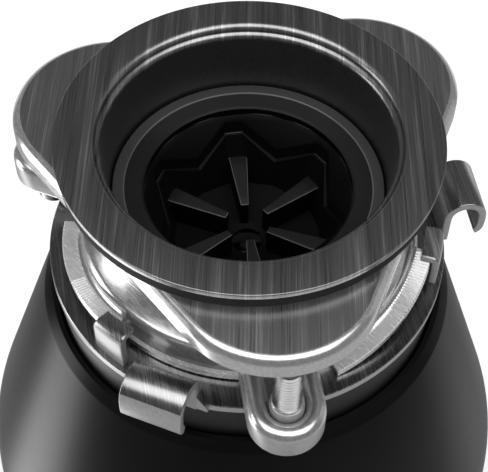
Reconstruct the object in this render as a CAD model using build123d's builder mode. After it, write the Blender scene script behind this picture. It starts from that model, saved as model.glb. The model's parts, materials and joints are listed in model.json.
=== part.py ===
"""A kitchen garbage disposal with its three-bolt sink mount, in millimetres."""

import os
from math import cos, radians, sin

from build123d import *

os.makedirs("parts", exist_ok=True)

# Overall sizes. Z is up, the origin is under the middle of the bottom cover.
overall_height = 318.0
body_radius = 96.0

# Clearances.
body_gap = 0.4  # between pieces that move against each other
seat_gap = 0.3  # between faces that meet when the mount is tight
running_gap = 0.05  # radial, a shaft in its bearing
thread_gap = 0.08  # radial, a plain bolt in its threaded hole

# Sink flange: a wide rim on a thin tube that hangs through the sink's hole.
rim_radius = 57.15
rim_thickness = 2.0
rim_edge_radius = 0.8
rim_root_run = 1.4  # from the tube out to the rim's flat underside
lip_radius = 46.0
lip_fall = 1.8
lip_arc_radius = 1.82
throat_mouth_radius = 44.2
throat_radius = 42.2
throat_waist_drop = 3.5
throat_waist_radius = 43.3
throat_cone_drop = 22.4
tube_wall = 1.6
waist_wall = 1.0
tube_drop = 53.0
snap_wire_radius = 1.0
snap_groove_drop = 49.7
snap_groove_depth = 0.9
snap_gap = 0.1
snap_ring_opening = 24.0

# Gasket and backup flange under the rim.
fiber_gasket_radius = 56.5
backup_drop = 6.0
backup_thickness = 7.0
backup_edge_radius = 2.6
lobe_count = 3
lobe_angle = -90.0
lobe_offset = 44.5
lobe_radius = 30.0
backup_relief_inset = 8.0
backup_relief_depth = 3.5
backup_hole_gap = 1.0

# Mounting bolts, 5/16 in, 18 threads to the inch.
bolt_radius = 4.0
bolt_circle = 70.0
bolt_point = 1.2
bolt_head_radius = 5.4
bolt_head_height = 5.0
bolt_head_drop = 52.0
bolt_slot_width = 1.6
bolt_slot_depth = 2.0

# Mounting ring: hub, cone, skirt, three ears and three ramps.
hub_gap = 0.5
hub_wall = 2.0
hub_top_drop = 30.0
cone_foot_drop = 38.0
cone_wall = 3.0
skirt_radius = 55.2
skirt_wall = 1.8
skirt_foot_drop = 48.0
hollow_overrun = 0.5
ear_width = 22.5
ear_rim_drop = 35.0
ear_foot_drop = 46.0
ear_wall = 3.0
ear_floor = 2.5
ear_boss_radius = 5.8
ear_boss_drop = 32.0
ramp_outer_radius = 58.5
ramp_root_depth = 1.0
ramp_thickness = 2.2
ramp_low_drop = 46.0
ramp_rise = 7.5
ramp_start_angle = -72.0
ramp_span = 50.0

# Lower mounting ring: flat ring, three hooked ears and three curled wrench tabs.
ring_drop = 48.5
ring_thickness = 3.0
ring_outer_radius = 63.3
hook_wall = 2.3
hook_side_gap = 0.9
hook_root_depth = 1.0
hook_angle = -21.0
hook_span = 11.0
tab_angle = -0.5
tab_width = 19.0
tab_sheet = 2.6
tab_crest_drop = 33.0
tab_curl_radius = 5.6
tab_inner_radius = 61.6
tab_lip_drop = 45.0
tab_lip_bend = (1.0, 2.0)  # inwards and down from the lip's start
tab_lip_end = (3.2, 2.4)

# Neck of the grind chamber and the rubber gasket over it.
neck_radius = 50.6
neck_wall = 2.6
neck_lip = 1.6
neck_lip_height = 1.4
gasket_cap_drop = 45.3
gasket_cap_thickness = 1.5
gasket_skirt_wall = 0.8
gasket_foot_thickness = 2.7
gasket_leg_wall = 1.4
chamber_mouth_radius = 40.5
shoulder_radius = 62.0
shoulder_drop = 51.9

# Splash baffle, a rubber sleeve that drops into the sink flange's tube.
baffle_drop = 22.3
baffle_wall = 2.0
baffle_face_thickness = 1.8
baffle_mouth_radius = 32.0
baffle_fin_count = 6
baffle_fin_angle = 28.0
baffle_fin_drop = 40.5
baffle_fin_depth = 15.0
baffle_fin_inner_radius = 7.0
baffle_fin_inner_width = 2.5
baffle_fin_outer_width = 6.0
baffle_fin_root = 0.5
baffle_wall_drop = 29.0
baffle_funnel_run = 4.0
baffle_funnel_wall = 2.0
baffle_funnel_rise = 1.0

# Grind chamber housing, shredder ring and the joint to the drain chamber.
chamber_wall = 3.0
chamber_ledge_thickness = 3.0
chamber_ledge_fall = 5.0
chamber_knee_drop = 70.0
chamber_waist_drop = 112.0
chamber_radius = 73.0
chamber_foot_drop = 158.0
joint_flange_radius = 84.0
joint_flange_thickness = 4.0
joint_gasket_thickness = 1.0
joint_screw_count = 6
joint_screw_circle = 79.0
joint_screw_radius = 2.2
joint_screw_length = 8.5
joint_screw_head_radius = 4.2
joint_screw_head_height = 2.6
shredder_wall = 3.4
shredder_height = 24.0
shredder_tooth_count = 30
shredder_tooth_width = 4.0
shredder_tooth_height = 9.0
shredder_tooth_fall = 1.0  # the teeth start this far below the turntable

# Dishwasher inlet, 7/8 in.
inlet_radius = 11.1
inlet_nose_length = 18.0
inlet_boss_radius = 12.4
inlet_bore_radius = 9.0
inlet_drop = 98.0
inlet_reach = 100.0
inlet_plug_thickness = 2.0
inlet_hole_gap = 1.4
inlet_boss_overlap = 2.0
inlet_plug_depth = 1.0
inlet_bore_overrun = 12.0

# Outer shells and the insulation inside them.
shell_wall = 2.5
shell_mouth_radius = 63.0
shell_mouth_drop = 66.5
shell_shoulder_radius = 67.5
shell_shoulder_drop = 68.5
shell_waist_drop = 152.0
shell_edge_run = 1.2
shell_waist_fillet = 60.0
shell_parting_height = 110.0
shell_parting_gap = 0.6
shell_foot_height = 4.0
shell_foot_taper = 5.0
shell_foot_taper_height = 46.0
insulation_thickness = 3.6
insulation_top_drop = 86.0
insulation_gap = 0.3
insulation_slack = 1.5  # more room around the waist, where the shell is rounded
insulation_bend = (8.0, 18.0)  # above and below the shell's waist
insulation_foot_rise = 6.0

# Drain chamber (upper end bell) and its outlet.
drain_wall = 4.0
drain_step = 2.0  # the drain chamber is this much narrower than the grind chamber
drain_floor_fall = 0.5
drain_floor_thickness = 5.0
drain_skirt_height = 8.0
drain_skirt_radius = 80.0
drain_skirt_lap = 2.0
bearing_tube_wall = 5.0
bearing_tube_drop = 155.0
outlet_boss_fall = 0.6
outlet_bore_radius = 14.5
outlet_bore_overrun = 6.0
outlet_boss_radius = 19.4
outlet_hole_gap = 1.6
outlet_flange_thickness = 4.5
outlet_flange_half_width = 31.0
outlet_flange_margin = 2.0
outlet_face_gap = 6.0
outlet_screw_offset = 25.0
outlet_screw_radius = 2.5
outlet_screw_head_radius = 4.6
outlet_screw_head_height = 3.2
outlet_gasket_thickness = 2.5

# Discharge elbow, 1 1/2 in, and the steel flange that clamps it.
elbow_radius = 19.05
elbow_wall = 2.0
elbow_collar_thickness = 3.0
elbow_collar_radius = 22.0
elbow_neck_length = 12.0
elbow_bend_radius = 32.0
elbow_tail_length = 46.0
clamp_flange_thickness = 2.5
clamp_flange_margin = 1.0
clamp_flange_gap = 0.2

# Motor.
shaft_radius = 6.35
shaft_foot_height = 9.0
shaft_socket_width = 6.35
shaft_socket_depth = 9.0
bearing_wall = 4.65
bearing_seat_wall = 4.0
bearing_seat_flare = 1.0
upper_bearing_length = 18.0
upper_bearing_rise = 5.0
lower_bearing_length = 18.0
lower_bearing_height = 24.0
seal_length = 8.0
seal_depth = 2.0
shaft_end_depth = 1.0  # the shaft ends this far inside the nut
shaft_chamfer = 0.8
motor_frame_wall = 2.0
motor_frame_radius = 69.2
end_frame_height = 30.0
end_frame_thickness = 5.0
vent_circle = 40.0
vent_count = 6
vent_size = (26.0, 8.0)
through_bolt_circle = 75.0
through_bolt_radius = 2.5
through_bolt_count = 4
through_bolt_angle = 45.0
through_bolt_head_radius = 4.5
through_bolt_head_height = 4.0
through_bolt_hole_end = 1.0
stator_bore_radius = 31.0
stator_end_space = 18.0
slot_circle = 43.0
slot_count = 24
slot_size = (16.0, 3.4)
core_foot_height = 60.0
winding_height = 13.0
winding_inner_radius = 37.0
winding_outer_radius = 59.0
winding_round = 4.0
air_gap = 0.5
cage_height = 6.0
cage_inner_radius = 20.0
cage_outer_radius = 29.0

# Turntable and its two swivel lugs.
turntable_radius = 66.0
turntable_drop = 145.5
turntable_thickness = 2.5
turntable_hub_radius = 14.0
turntable_hub_gap = 0.6
turntable_notch_count = 12
turntable_notch_angle = 15.0
turntable_notch_size = (5.0, 7.0)
turntable_nut_width = 19.0
turntable_nut_height = 7.5
lug_count = 2
lug_circle = 44.0
lug_reach = 16.0
lug_round_radius = 9.0
lug_nose_radius = 6.0
lug_thickness = 10.0
lug_pin_radius = 4.0
lug_pin_head_radius = 6.5
lug_pin_head_height = 1.8
lug_pin_rivet = 1.0

# Bottom cover and the electrics behind it.
foot_height = 4.0
foot_outer_radius = 82.0
foot_inner_radius = 74.0
cover_thickness = 4.0
socket_hole_radius = 9.0
conduit_radius = 11.1
conduit_place = (-52.0, 26.0)
button_radius = 5.0
button_place = (0.0, -60.0)
button_proud = 2.8
button_travel = 2.5
button_depth = 6.0
button_edge_radius = 0.8
protector_size = (30.0, 22.0, 16.0)
relay_size = (30.0, 24.0, 18.0)
relay_place = (42.0, -34.0)
box_corner_radius = 2.0
hatch_size = (34.0, 46.0)
hatch_place = (-42.0, -18.0)
hatch_thickness = 1.6
hatch_margin = 4.0
hatch_screw_offset = 18.0
hatch_screw_head_height = 1.6
hatch_corner_radius = 3.0
small_screw_radius = 2.0
small_screw_head_radius = 3.8
small_screw_head_height = 2.0
ground_screw_place = (-18.0, 34.0)
ground_screw_head_radius = 4.6
ground_screw_head_height = 3.0
post_radius = 5.5
post_circle = 58.0
post_count = 3
post_angle = 0.0


def at(drop):
    """Height of a level that lies drop below the sink flange's top."""
    return overall_height - drop


def section(*points):
    """Closed outline in the XZ plane, each point a radius and a height."""
    with BuildSketch(Plane.XZ) as outline:
        with BuildLine():
            Polyline(*points, close=True)
        make_face()
    return outline.sketch


def ring_section(inner_radius, outer_radius, low, high):
    """Rectangle in the XZ plane that turns into a plain ring."""
    return section((inner_radius, low), (outer_radius, low), (outer_radius, high), (inner_radius, high))


def lobed_outline(height, inset):
    """Rounded triangle of the backup flange, moved in by inset."""
    with BuildSketch(Plane.XY.offset(height)) as outline:
        with PolarLocations(lobe_offset, lobe_count, start_angle=lobe_angle):
            Circle(lobe_radius - inset)
        make_hull()
    return outline.sketch


def helical_strip(inner_radius, outer_radius, thickness, span):
    """Flat strip that climbs with the ramps from angle 0, its top face starting at height 0."""
    middle_radius = (inner_radius + outer_radius) / 2
    with BuildPart() as strip:
        with BuildLine() as path:
            Helix(
                pitch=ramp_pitch,
                height=ramp_pitch * span / 360,
                radius=middle_radius,
                center=(0, 0, -thickness / 2),
            )
        with BuildSketch(Plane(origin=path.line @ 0, x_dir=(1, 0, 0), z_dir=path.line % 0)):
            Rectangle(outer_radius - inner_radius, thickness)
        sweep(is_frenet=True)
    return strip.part


def sector(inner_radius, outer_radius, low, high, start_angle, span):
    """Part of a ring between two radii and two heights."""
    with BuildPart() as piece:
        with BuildSketch(Plane.XZ):
            with Locations(((inner_radius + outer_radius) / 2, (low + high) / 2)):
                Rectangle(outer_radius - inner_radius, high - low)
        revolve(axis=Axis.Z, revolution_arc=span)
    return piece.part.rotate(Axis.Z, start_angle)


def screw(radius, length, head_radius, head_height):
    """Round-headed screw with its head's top at height 0, pointing down."""
    with BuildPart() as piece:
        with BuildSketch(Plane.XY.offset(-head_height)):
            Circle(head_radius)
        extrude(amount=head_height)
        with BuildSketch(Plane.XY.offset(-head_height - length)):
            Circle(radius)
        extrude(amount=length)
        with BuildSketch():
            Rectangle(2 * head_radius, bolt_slot_width / 2)
        extrude(amount=-head_height / 2, mode=Mode.SUBTRACT)
    return piece.part


def save(piece, name):
    """Label a finished piece and write its STEP file."""
    piece.part.label = name
    export_step(piece.part, f"parts/{name}.step")


# Worked-out sizes.
ramp_pitch = ramp_rise / ramp_span * 360
tube_outer_radius = throat_radius + tube_wall
hub_bore_radius = tube_outer_radius + hub_gap
hub_outer_radius = hub_bore_radius + hub_wall
ring_bore_radius = neck_radius + body_gap
neck_bore_radius = neck_radius - neck_wall
gasket_skirt_radius = neck_radius + neck_lip + gasket_skirt_wall
gasket_leg_radius = neck_bore_radius - gasket_leg_wall
gasket_foot_drop = tube_drop + seat_gap + gasket_foot_thickness
shell_slope = (body_radius - shell_shoulder_radius) / (shell_waist_drop - shell_shoulder_drop)
chamber_bore_radius = chamber_radius - chamber_wall
drain_top_drop = chamber_foot_drop + joint_gasket_thickness
outlet_drop = drain_top_drop + outlet_boss_radius + outlet_boss_fall
drain_floor_drop = outlet_drop + outlet_bore_radius + drain_floor_fall
drain_foot_drop = drain_floor_drop + drain_floor_thickness + drain_skirt_height
bearing_outer_radius = shaft_radius + running_gap + bearing_wall
core_top_height = at(drain_foot_drop) - stator_end_space
cover_top_height = foot_height + cover_thickness
outlet_face = body_radius + outlet_face_gap
elbow_face = outlet_face + outlet_gasket_thickness
outlet_height = at(outlet_drop)
inlet_height = at(inlet_drop)

# ---- Sink side: flange, snap ring, mounting ring ----

with BuildPart() as sink_flange:
    with BuildSketch(Plane.XZ):
        with BuildLine():
            groove_radius = tube_outer_radius - snap_groove_depth
            groove_foot_drop = snap_groove_drop + 2 * (snap_wire_radius + snap_gap)
            Polyline(
                (lip_radius, at(0)),
                (rim_radius, at(0)),
                (rim_radius, at(rim_thickness)),
                (throat_waist_radius + waist_wall + rim_root_run, at(rim_thickness)),
                (throat_waist_radius + waist_wall, at(throat_waist_drop)),
                (tube_outer_radius, at(throat_cone_drop)),
                (tube_outer_radius, at(snap_groove_drop)),
                (groove_radius, at(snap_groove_drop)),
                (groove_radius, at(groove_foot_drop)),
                (tube_outer_radius, at(groove_foot_drop)),
                (tube_outer_radius, at(tube_drop)),
                (throat_radius, at(tube_drop)),
                (throat_radius, at(throat_cone_drop)),
                (throat_waist_radius, at(throat_waist_drop)),
                (throat_mouth_radius, at(lip_fall)),
            )
            RadiusArc((throat_mouth_radius, at(lip_fall)), (lip_radius, at(0)), lip_arc_radius)
        make_face()
    revolve(axis=Axis.Z)
    rim_edges = sink_flange.edges().filter_by(GeomType.CIRCLE).sort_by(SortBy.RADIUS)[-2:]
    fillet(rim_edges, rim_edge_radius)
save(sink_flange, "sink_flange")

with BuildPart() as snap_ring:
    with BuildSketch(Plane.XZ):
        wire_drop = snap_groove_drop + snap_wire_radius + snap_gap
        with Locations((groove_radius + snap_wire_radius + snap_gap / 2, at(wire_drop))):
            Circle(snap_wire_radius)
    revolve(axis=Axis.Z, revolution_arc=360 - snap_ring_opening)
save(snap_ring, "snap_ring")

skirt_bore_radius = skirt_radius - skirt_wall
ramp_root_radius = skirt_bore_radius - ramp_root_depth
ramp = helical_strip(ramp_root_radius, ramp_outer_radius, ramp_thickness, ramp_span)

with BuildPart() as mounting_ring:
    revolve(
        section(
            (hub_bore_radius, at(hub_top_drop)),
            (hub_outer_radius, at(hub_top_drop)),
            (skirt_radius, at(cone_foot_drop)),
            (skirt_radius, at(skirt_foot_drop)),
            (hub_outer_radius, at(skirt_foot_drop)),
            (hub_outer_radius, at(snap_groove_drop)),
            (hub_bore_radius, at(snap_groove_drop)),
        ),
        axis=Axis.Z,
    )
    with PolarLocations(0, lobe_count, start_angle=ramp_start_angle):
        add(ramp.moved(Location((0, 0, at(ramp_low_drop)))))
    # Ears: a tray with a round end for each bolt, open towards the hub.
    with BuildSketch(Plane.XY.offset(at(ear_foot_drop))):
        with PolarLocations((ramp_root_radius + bolt_circle) / 2, lobe_count, start_angle=lobe_angle):
            Rectangle(bolt_circle - ramp_root_radius, ear_width)
        with PolarLocations(bolt_circle, lobe_count, start_angle=lobe_angle):
            Circle(ear_width / 2)
    extrude(amount=ear_foot_drop - ear_rim_drop)
    # Hollow under the cone, between the hub and the skirt.
    revolve(
        section(
            (hub_outer_radius, at(skirt_foot_drop + hollow_overrun)),
            (hub_outer_radius, at(hub_top_drop + cone_wall)),
            (skirt_bore_radius, at(cone_foot_drop + cone_wall / 2)),
            (skirt_bore_radius, at(skirt_foot_drop + hollow_overrun)),
        ),
        axis=Axis.Z,
        mode=Mode.SUBTRACT,
    )
    with BuildSketch(Plane.XY.offset(at(ear_rim_drop))):
        with PolarLocations((skirt_radius + bolt_circle) / 2, lobe_count, start_angle=lobe_angle):
            Rectangle(bolt_circle - skirt_radius, ear_width - 2 * ear_wall)
        with PolarLocations(bolt_circle, lobe_count, start_angle=lobe_angle):
            Circle(ear_width / 2 - ear_wall)
    extrude(amount=ear_rim_drop - ear_foot_drop + ear_floor, mode=Mode.SUBTRACT)
    with BuildSketch(Plane.XY.offset(at(ear_foot_drop))):
        with PolarLocations(bolt_circle, lobe_count, start_angle=lobe_angle):
            Circle(ear_boss_radius)
    extrude(amount=ear_foot_drop - ear_boss_drop)
    with BuildSketch(Plane.XY.offset(at(ear_foot_drop))):
        with PolarLocations(bolt_circle, lobe_count, start_angle=lobe_angle):
            Circle(bolt_radius + thread_gap)
    extrude(amount=ear_foot_drop - ear_boss_drop, mode=Mode.SUBTRACT)
save(mounting_ring, "mounting_ring")

# ---- Clamped pieces: gasket, backup flange, three bolts ----

with BuildPart() as fiber_gasket:
    with BuildSketch(Plane.XY.offset(at(backup_drop))):
        Circle(fiber_gasket_radius)
        Circle(throat_waist_radius + waist_wall + rim_root_run + body_gap, mode=Mode.SUBTRACT)
    extrude(amount=backup_drop - rim_thickness - seat_gap)
save(fiber_gasket, "fiber_gasket")

with BuildPart() as backup_flange:
    extrude(lobed_outline(at(backup_drop + backup_thickness), 0), amount=backup_thickness)
    fillet(backup_flange.edges().group_by(Axis.Z)[-1], backup_edge_radius)
    fillet(backup_flange.edges().group_by(Axis.Z)[0], backup_edge_radius / 2)
    extrude(
        lobed_outline(at(backup_drop + backup_thickness), backup_relief_inset),
        amount=backup_relief_depth,
        mode=Mode.SUBTRACT,
    )
    with BuildSketch(Plane.XY.offset(at(backup_drop))):
        Circle(throat_waist_radius + waist_wall + backup_hole_gap)
    extrude(amount=-backup_thickness, mode=Mode.SUBTRACT)
save(backup_flange, "backup_flange")

bolt_tip_drop = backup_drop + backup_thickness + seat_gap
for bolt_index in range(lobe_count):
    bolt_angle = lobe_angle + bolt_index * 360 / lobe_count
    bolt_x = bolt_circle * cos(radians(bolt_angle))
    bolt_y = bolt_circle * sin(radians(bolt_angle))
    with BuildPart() as mount_bolt:
        with BuildSketch(Plane((bolt_x, bolt_y, at(bolt_head_drop)))):
            Circle(bolt_radius)
        extrude(amount=bolt_head_drop - bolt_tip_drop)
        chamfer(mount_bolt.edges().group_by(Axis.Z)[-1], bolt_point)
        with BuildSketch(Plane((bolt_x, bolt_y, at(bolt_head_drop)))):
            Circle(bolt_head_radius)
        extrude(amount=-bolt_head_height)
        with BuildSketch(Plane((bolt_x, bolt_y, at(bolt_head_drop + bolt_head_height)))):
            Rectangle(2 * bolt_head_radius, bolt_slot_width)
        extrude(amount=bolt_slot_depth, mode=Mode.SUBTRACT)
    save(mount_bolt, f"mount_bolt_{bolt_index + 1}")

# ---- Lower mounting ring ----

ring_foot_drop = ring_drop + ring_thickness
hook_inner_radius = skirt_radius + body_gap
hook_outer_radius = ramp_outer_radius + hook_side_gap + hook_wall
hook_low_drop = ramp_low_drop - ramp_rise * (hook_angle - hook_span / 2 - ramp_start_angle) / ramp_span
hook_plate = helical_strip(hook_inner_radius, hook_outer_radius, hook_wall, hook_span)
hook_plate = hook_plate.rotate(Axis.Z, hook_angle - hook_span / 2)
hook_plate = hook_plate.moved(Location((0, 0, at(hook_low_drop) + body_gap + hook_wall)))
hook_upright = sector(
    hook_outer_radius - hook_wall,
    hook_outer_radius,
    at(ring_drop) - hook_root_depth,
    at(hook_low_drop) + body_gap + hook_wall / 2,
    hook_angle - hook_span / 2,
    hook_span,
)

with BuildPart() as tab_piece:
    with BuildSketch(Plane.XZ):
        with BuildLine() as tab_line:
            stem_radius = tab_inner_radius + tab_sheet / 2
            crest_height = at(tab_crest_drop) - tab_sheet / 2 - tab_curl_radius
            tip_radius = stem_radius + 2 * tab_curl_radius
            stem = Line((stem_radius, at(ring_foot_drop) + tab_sheet / 2), (stem_radius, crest_height))
            crest = RadiusArc(stem @ 1, (tip_radius, crest_height), tab_curl_radius)
            tip = Line(crest @ 1, (tip_radius, at(tab_lip_drop)))
            ThreePointArc(
                tip @ 1,
                (tip_radius - tab_lip_bend[0], at(tab_lip_drop + tab_lip_bend[1])),
                (tip_radius - tab_lip_end[0], at(tab_lip_drop + tab_lip_end[1])),
            )
            offset(amount=tab_sheet / 2, kind=Kind.ARC)
        make_face()
    extrude(amount=tab_width / 2, both=True)
tab = tab_piece.part.rotate(Axis.Z, tab_angle)

with BuildPart() as lower_mounting_ring:
    revolve(ring_section(ring_bore_radius, ring_outer_radius, at(ring_foot_drop), at(ring_drop)), axis=Axis.Z)
    with PolarLocations(0, lobe_count):
        add(hook_upright)
        add(hook_plate)
        add(tab)
save(lower_mounting_ring, "lower_mounting_ring")

# ---- Neck, rubber gasket and splash baffle ----

with BuildPart() as mounting_gasket:
    revolve(
        section(
            (chamber_mouth_radius, at(gasket_foot_drop)),
            (neck_bore_radius, at(gasket_foot_drop)),
            (neck_bore_radius, at(gasket_cap_drop + gasket_cap_thickness)),
            (gasket_skirt_radius - gasket_skirt_wall, at(gasket_cap_drop + gasket_cap_thickness)),
            (gasket_skirt_radius - gasket_skirt_wall, at(ring_drop - seat_gap)),
            (gasket_skirt_radius, at(ring_drop - seat_gap)),
            (gasket_skirt_radius, at(gasket_cap_drop)),
            (gasket_leg_radius, at(gasket_cap_drop)),
            (gasket_leg_radius, at(tube_drop + seat_gap)),
            (chamber_mouth_radius, at(tube_drop + seat_gap)),
        ),
        axis=Axis.Z,
    )
save(mounting_gasket, "mounting_gasket")

baffle_radius = throat_radius - body_gap
baffle_funnel_radius = baffle_mouth_radius - baffle_funnel_run
with BuildPart() as splash_baffle:
    revolve(
        section(
            (baffle_mouth_radius, at(baffle_drop)),
            (baffle_radius, at(baffle_drop)),
            (baffle_radius, at(tube_drop)),
            (baffle_radius - baffle_wall, at(tube_drop)),
            (baffle_radius - baffle_wall, at(baffle_drop + baffle_face_thickness)),
            (baffle_mouth_radius + baffle_wall, at(baffle_drop + baffle_face_thickness)),
            (baffle_mouth_radius + baffle_wall, at(baffle_wall_drop)),
            (baffle_funnel_radius, at(baffle_fin_drop + 2 * baffle_funnel_rise)),
            (baffle_funnel_radius - baffle_funnel_wall, at(baffle_fin_drop + baffle_funnel_rise)),
            (baffle_mouth_radius, at(baffle_wall_drop)),
        ),
        axis=Axis.Z,
    )
    # Flexible fins that point at the middle and leave it open.
    with BuildSketch(Plane.XY.offset(at(baffle_fin_drop))):
        with PolarLocations(0, baffle_fin_count, start_angle=baffle_fin_angle):
            Polygon(
                (baffle_fin_inner_radius, -baffle_fin_inner_width / 2),
                (baffle_funnel_radius - baffle_fin_root, -baffle_fin_outer_width / 2),
                (baffle_funnel_radius - baffle_fin_root, baffle_fin_outer_width / 2),
                (baffle_fin_inner_radius, baffle_fin_inner_width / 2),
                align=None,
            )
    extrude(amount=-baffle_fin_depth)
save(splash_baffle, "splash_baffle")

# ---- Grind chamber housing ----

chamber_ledge_drop = gasket_foot_drop + chamber_ledge_thickness
with BuildPart() as container_body:
    revolve(
        section(
            (neck_bore_radius, at(gasket_cap_drop + gasket_cap_thickness)),
            (neck_radius + neck_lip, at(gasket_cap_drop + gasket_cap_thickness)),
            (neck_radius + neck_lip, at(gasket_cap_drop + gasket_cap_thickness + neck_lip_height)),
            (neck_radius, at(gasket_cap_drop + gasket_cap_thickness + neck_lip_height)),
            (neck_radius, at(shoulder_drop)),
            (shoulder_radius, at(shoulder_drop)),
            (shoulder_radius, at(chamber_knee_drop)),
            (chamber_radius, at(chamber_waist_drop)),
            (chamber_radius, at(chamber_foot_drop - joint_flange_thickness)),
            (joint_flange_radius, at(chamber_foot_drop - joint_flange_thickness)),
            (joint_flange_radius, at(chamber_foot_drop)),
            (chamber_bore_radius, at(chamber_foot_drop)),
            (chamber_bore_radius, at(chamber_waist_drop)),
            (shoulder_radius - chamber_wall, at(chamber_knee_drop)),
            (shoulder_radius - chamber_wall, at(chamber_ledge_drop + chamber_ledge_fall)),
            (chamber_mouth_radius, at(chamber_ledge_drop)),
            (chamber_mouth_radius, at(gasket_foot_drop)),
            (neck_bore_radius, at(gasket_foot_drop)),
        ),
        axis=Axis.Z,
    )
    # Dishwasher inlet: a boss on the chamber's wall and a hose nose towards +Y.
    with BuildSketch(Plane.XZ.offset(-inlet_reach)):
        with Locations((0, inlet_height)):
            Circle(inlet_radius)
    extrude(amount=inlet_nose_length)
    with BuildSketch(Plane.XZ.offset(inlet_nose_length - inlet_reach)):
        with Locations((0, inlet_height)):
            Circle(inlet_boss_radius)
    extrude(amount=inlet_reach - inlet_nose_length - shoulder_radius - inlet_boss_overlap)
    with BuildSketch(Plane.XZ.offset(-inlet_reach)):
        with Locations((0, inlet_height)):
            Circle(inlet_bore_radius)
    extrude(amount=inlet_reach - chamber_bore_radius + inlet_bore_overrun, mode=Mode.SUBTRACT)
    with BuildSketch(Plane.XY.offset(at(chamber_foot_drop))):
        with PolarLocations(joint_screw_circle, joint_screw_count):
            Circle(joint_screw_radius)
    extrude(amount=joint_flange_thickness, mode=Mode.SUBTRACT)
save(container_body, "container_body")

with BuildPart() as dishwasher_plug:
    with BuildSketch(Plane.XZ.offset(-chamber_radius - inlet_plug_depth)):
        with Locations((0, inlet_height)):
            Circle(inlet_bore_radius)
    extrude(amount=-inlet_plug_thickness)
save(dishwasher_plug, "dishwasher_plug")

shredder_outer_radius = chamber_bore_radius
shredder_inner_radius = shredder_outer_radius - shredder_wall
with BuildPart() as shredder_ring:
    shredder_foot = at(chamber_foot_drop)
    revolve(
        ring_section(
            shredder_inner_radius, shredder_outer_radius, shredder_foot, shredder_foot + shredder_height
        ),
        axis=Axis.Z,
    )
    with BuildSketch(Plane.XY.offset(at(turntable_drop) - turntable_thickness - shredder_tooth_fall)):
        with PolarLocations(shredder_inner_radius, shredder_tooth_count):
            Rectangle(shredder_wall, shredder_tooth_width)
    extrude(amount=shredder_tooth_height, mode=Mode.SUBTRACT)
save(shredder_ring, "shredder_ring")

with BuildPart() as body_gasket:
    with BuildSketch(Plane.XY.offset(at(drain_top_drop))):
        Circle(joint_flange_radius)
        Circle(chamber_bore_radius, mode=Mode.SUBTRACT)
        with PolarLocations(joint_screw_circle, joint_screw_count):
            Circle(joint_screw_radius, mode=Mode.SUBTRACT)
    extrude(amount=joint_gasket_thickness)
save(body_gasket, "body_gasket")

joint_screw = screw(joint_screw_radius, joint_screw_length, joint_screw_head_radius, joint_screw_head_height)
with BuildPart() as container_screws:
    joint_flange_top = at(chamber_foot_drop - joint_flange_thickness)
    with PolarLocations(joint_screw_circle, joint_screw_count):
        add(joint_screw.moved(Location((0, 0, joint_flange_top + joint_screw_head_height))))
save(container_screws, "container_screws")

# ---- Drain chamber with its outlet ----

with BuildPart() as upper_end_bell:
    drain_inner_radius = chamber_bore_radius - drain_step
    drain_outer_radius = drain_inner_radius + drain_wall
    drain_floor = at(drain_floor_drop)
    drain_foot = at(drain_foot_drop)
    drain_skirt_bore = motor_frame_radius - motor_frame_wall - drain_skirt_lap
    bearing_tube_radius = bearing_outer_radius + bearing_tube_wall
    revolve(
        section(
            (drain_inner_radius, at(drain_top_drop)),
            (joint_flange_radius, at(drain_top_drop)),
            (joint_flange_radius, at(drain_top_drop + joint_flange_thickness)),
            (drain_outer_radius, at(drain_top_drop + joint_flange_thickness)),
            (drain_outer_radius, drain_floor - drain_floor_thickness),
            (drain_skirt_radius, drain_floor - drain_floor_thickness),
            (drain_skirt_radius, drain_foot),
            (drain_skirt_bore, drain_foot),
            (drain_skirt_bore, drain_floor - drain_floor_thickness),
            (bearing_outer_radius, drain_floor - drain_floor_thickness),
            (bearing_outer_radius, at(bearing_tube_drop)),
            (bearing_tube_radius, at(bearing_tube_drop)),
            (bearing_tube_radius, drain_floor),
            (drain_inner_radius, drain_floor),
        ),
        axis=Axis.Z,
    )
    # Outlet boss towards -Y, ending in a two-screw flange outside the shell.
    with BuildSketch(Plane.XZ.offset(drain_inner_radius)):
        with Locations((0, outlet_height)):
            Circle(outlet_boss_radius)
    extrude(amount=outlet_face - drain_inner_radius)
    with BuildSketch(Plane.XZ.offset(outlet_face)):
        with Locations((0, outlet_height)):
            Circle(outlet_boss_radius + outlet_flange_margin)
            with Locations((outlet_screw_offset, 0), (-outlet_screw_offset, 0)):
                Circle(outlet_flange_half_width - outlet_screw_offset)
        make_hull()
    extrude(amount=-outlet_flange_thickness)
    with BuildSketch(Plane.XZ.offset(outlet_face)):
        with Locations((0, outlet_height)):
            Circle(outlet_bore_radius)
    extrude(amount=-(outlet_face - drain_inner_radius + outlet_bore_overrun), mode=Mode.SUBTRACT)
    with BuildSketch(Plane.XZ.offset(outlet_face)):
        with Locations((-outlet_screw_offset, outlet_height), (outlet_screw_offset, outlet_height)):
            Circle(outlet_screw_radius)
    extrude(amount=-outlet_flange_thickness, mode=Mode.SUBTRACT)
    with BuildSketch(Plane.XY.offset(at(drain_top_drop))):
        with PolarLocations(joint_screw_circle, joint_screw_count):
            Circle(joint_screw_radius)
    extrude(amount=-joint_flange_thickness, mode=Mode.SUBTRACT)
    with BuildSketch(Plane.XY.offset(drain_foot)):
        with PolarLocations(through_bolt_circle, through_bolt_count, start_angle=through_bolt_angle):
            Circle(through_bolt_radius)
    extrude(amount=drain_skirt_height, mode=Mode.SUBTRACT)
save(upper_end_bell, "upper_end_bell")

with BuildPart() as discharge_gasket:
    with BuildSketch(Plane.XZ.offset(outlet_face)):
        with Locations((0, outlet_height)):
            Circle(elbow_collar_radius)
            Circle(outlet_bore_radius, mode=Mode.SUBTRACT)
    extrude(amount=outlet_gasket_thickness)
save(discharge_gasket, "discharge_gasket")

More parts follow.
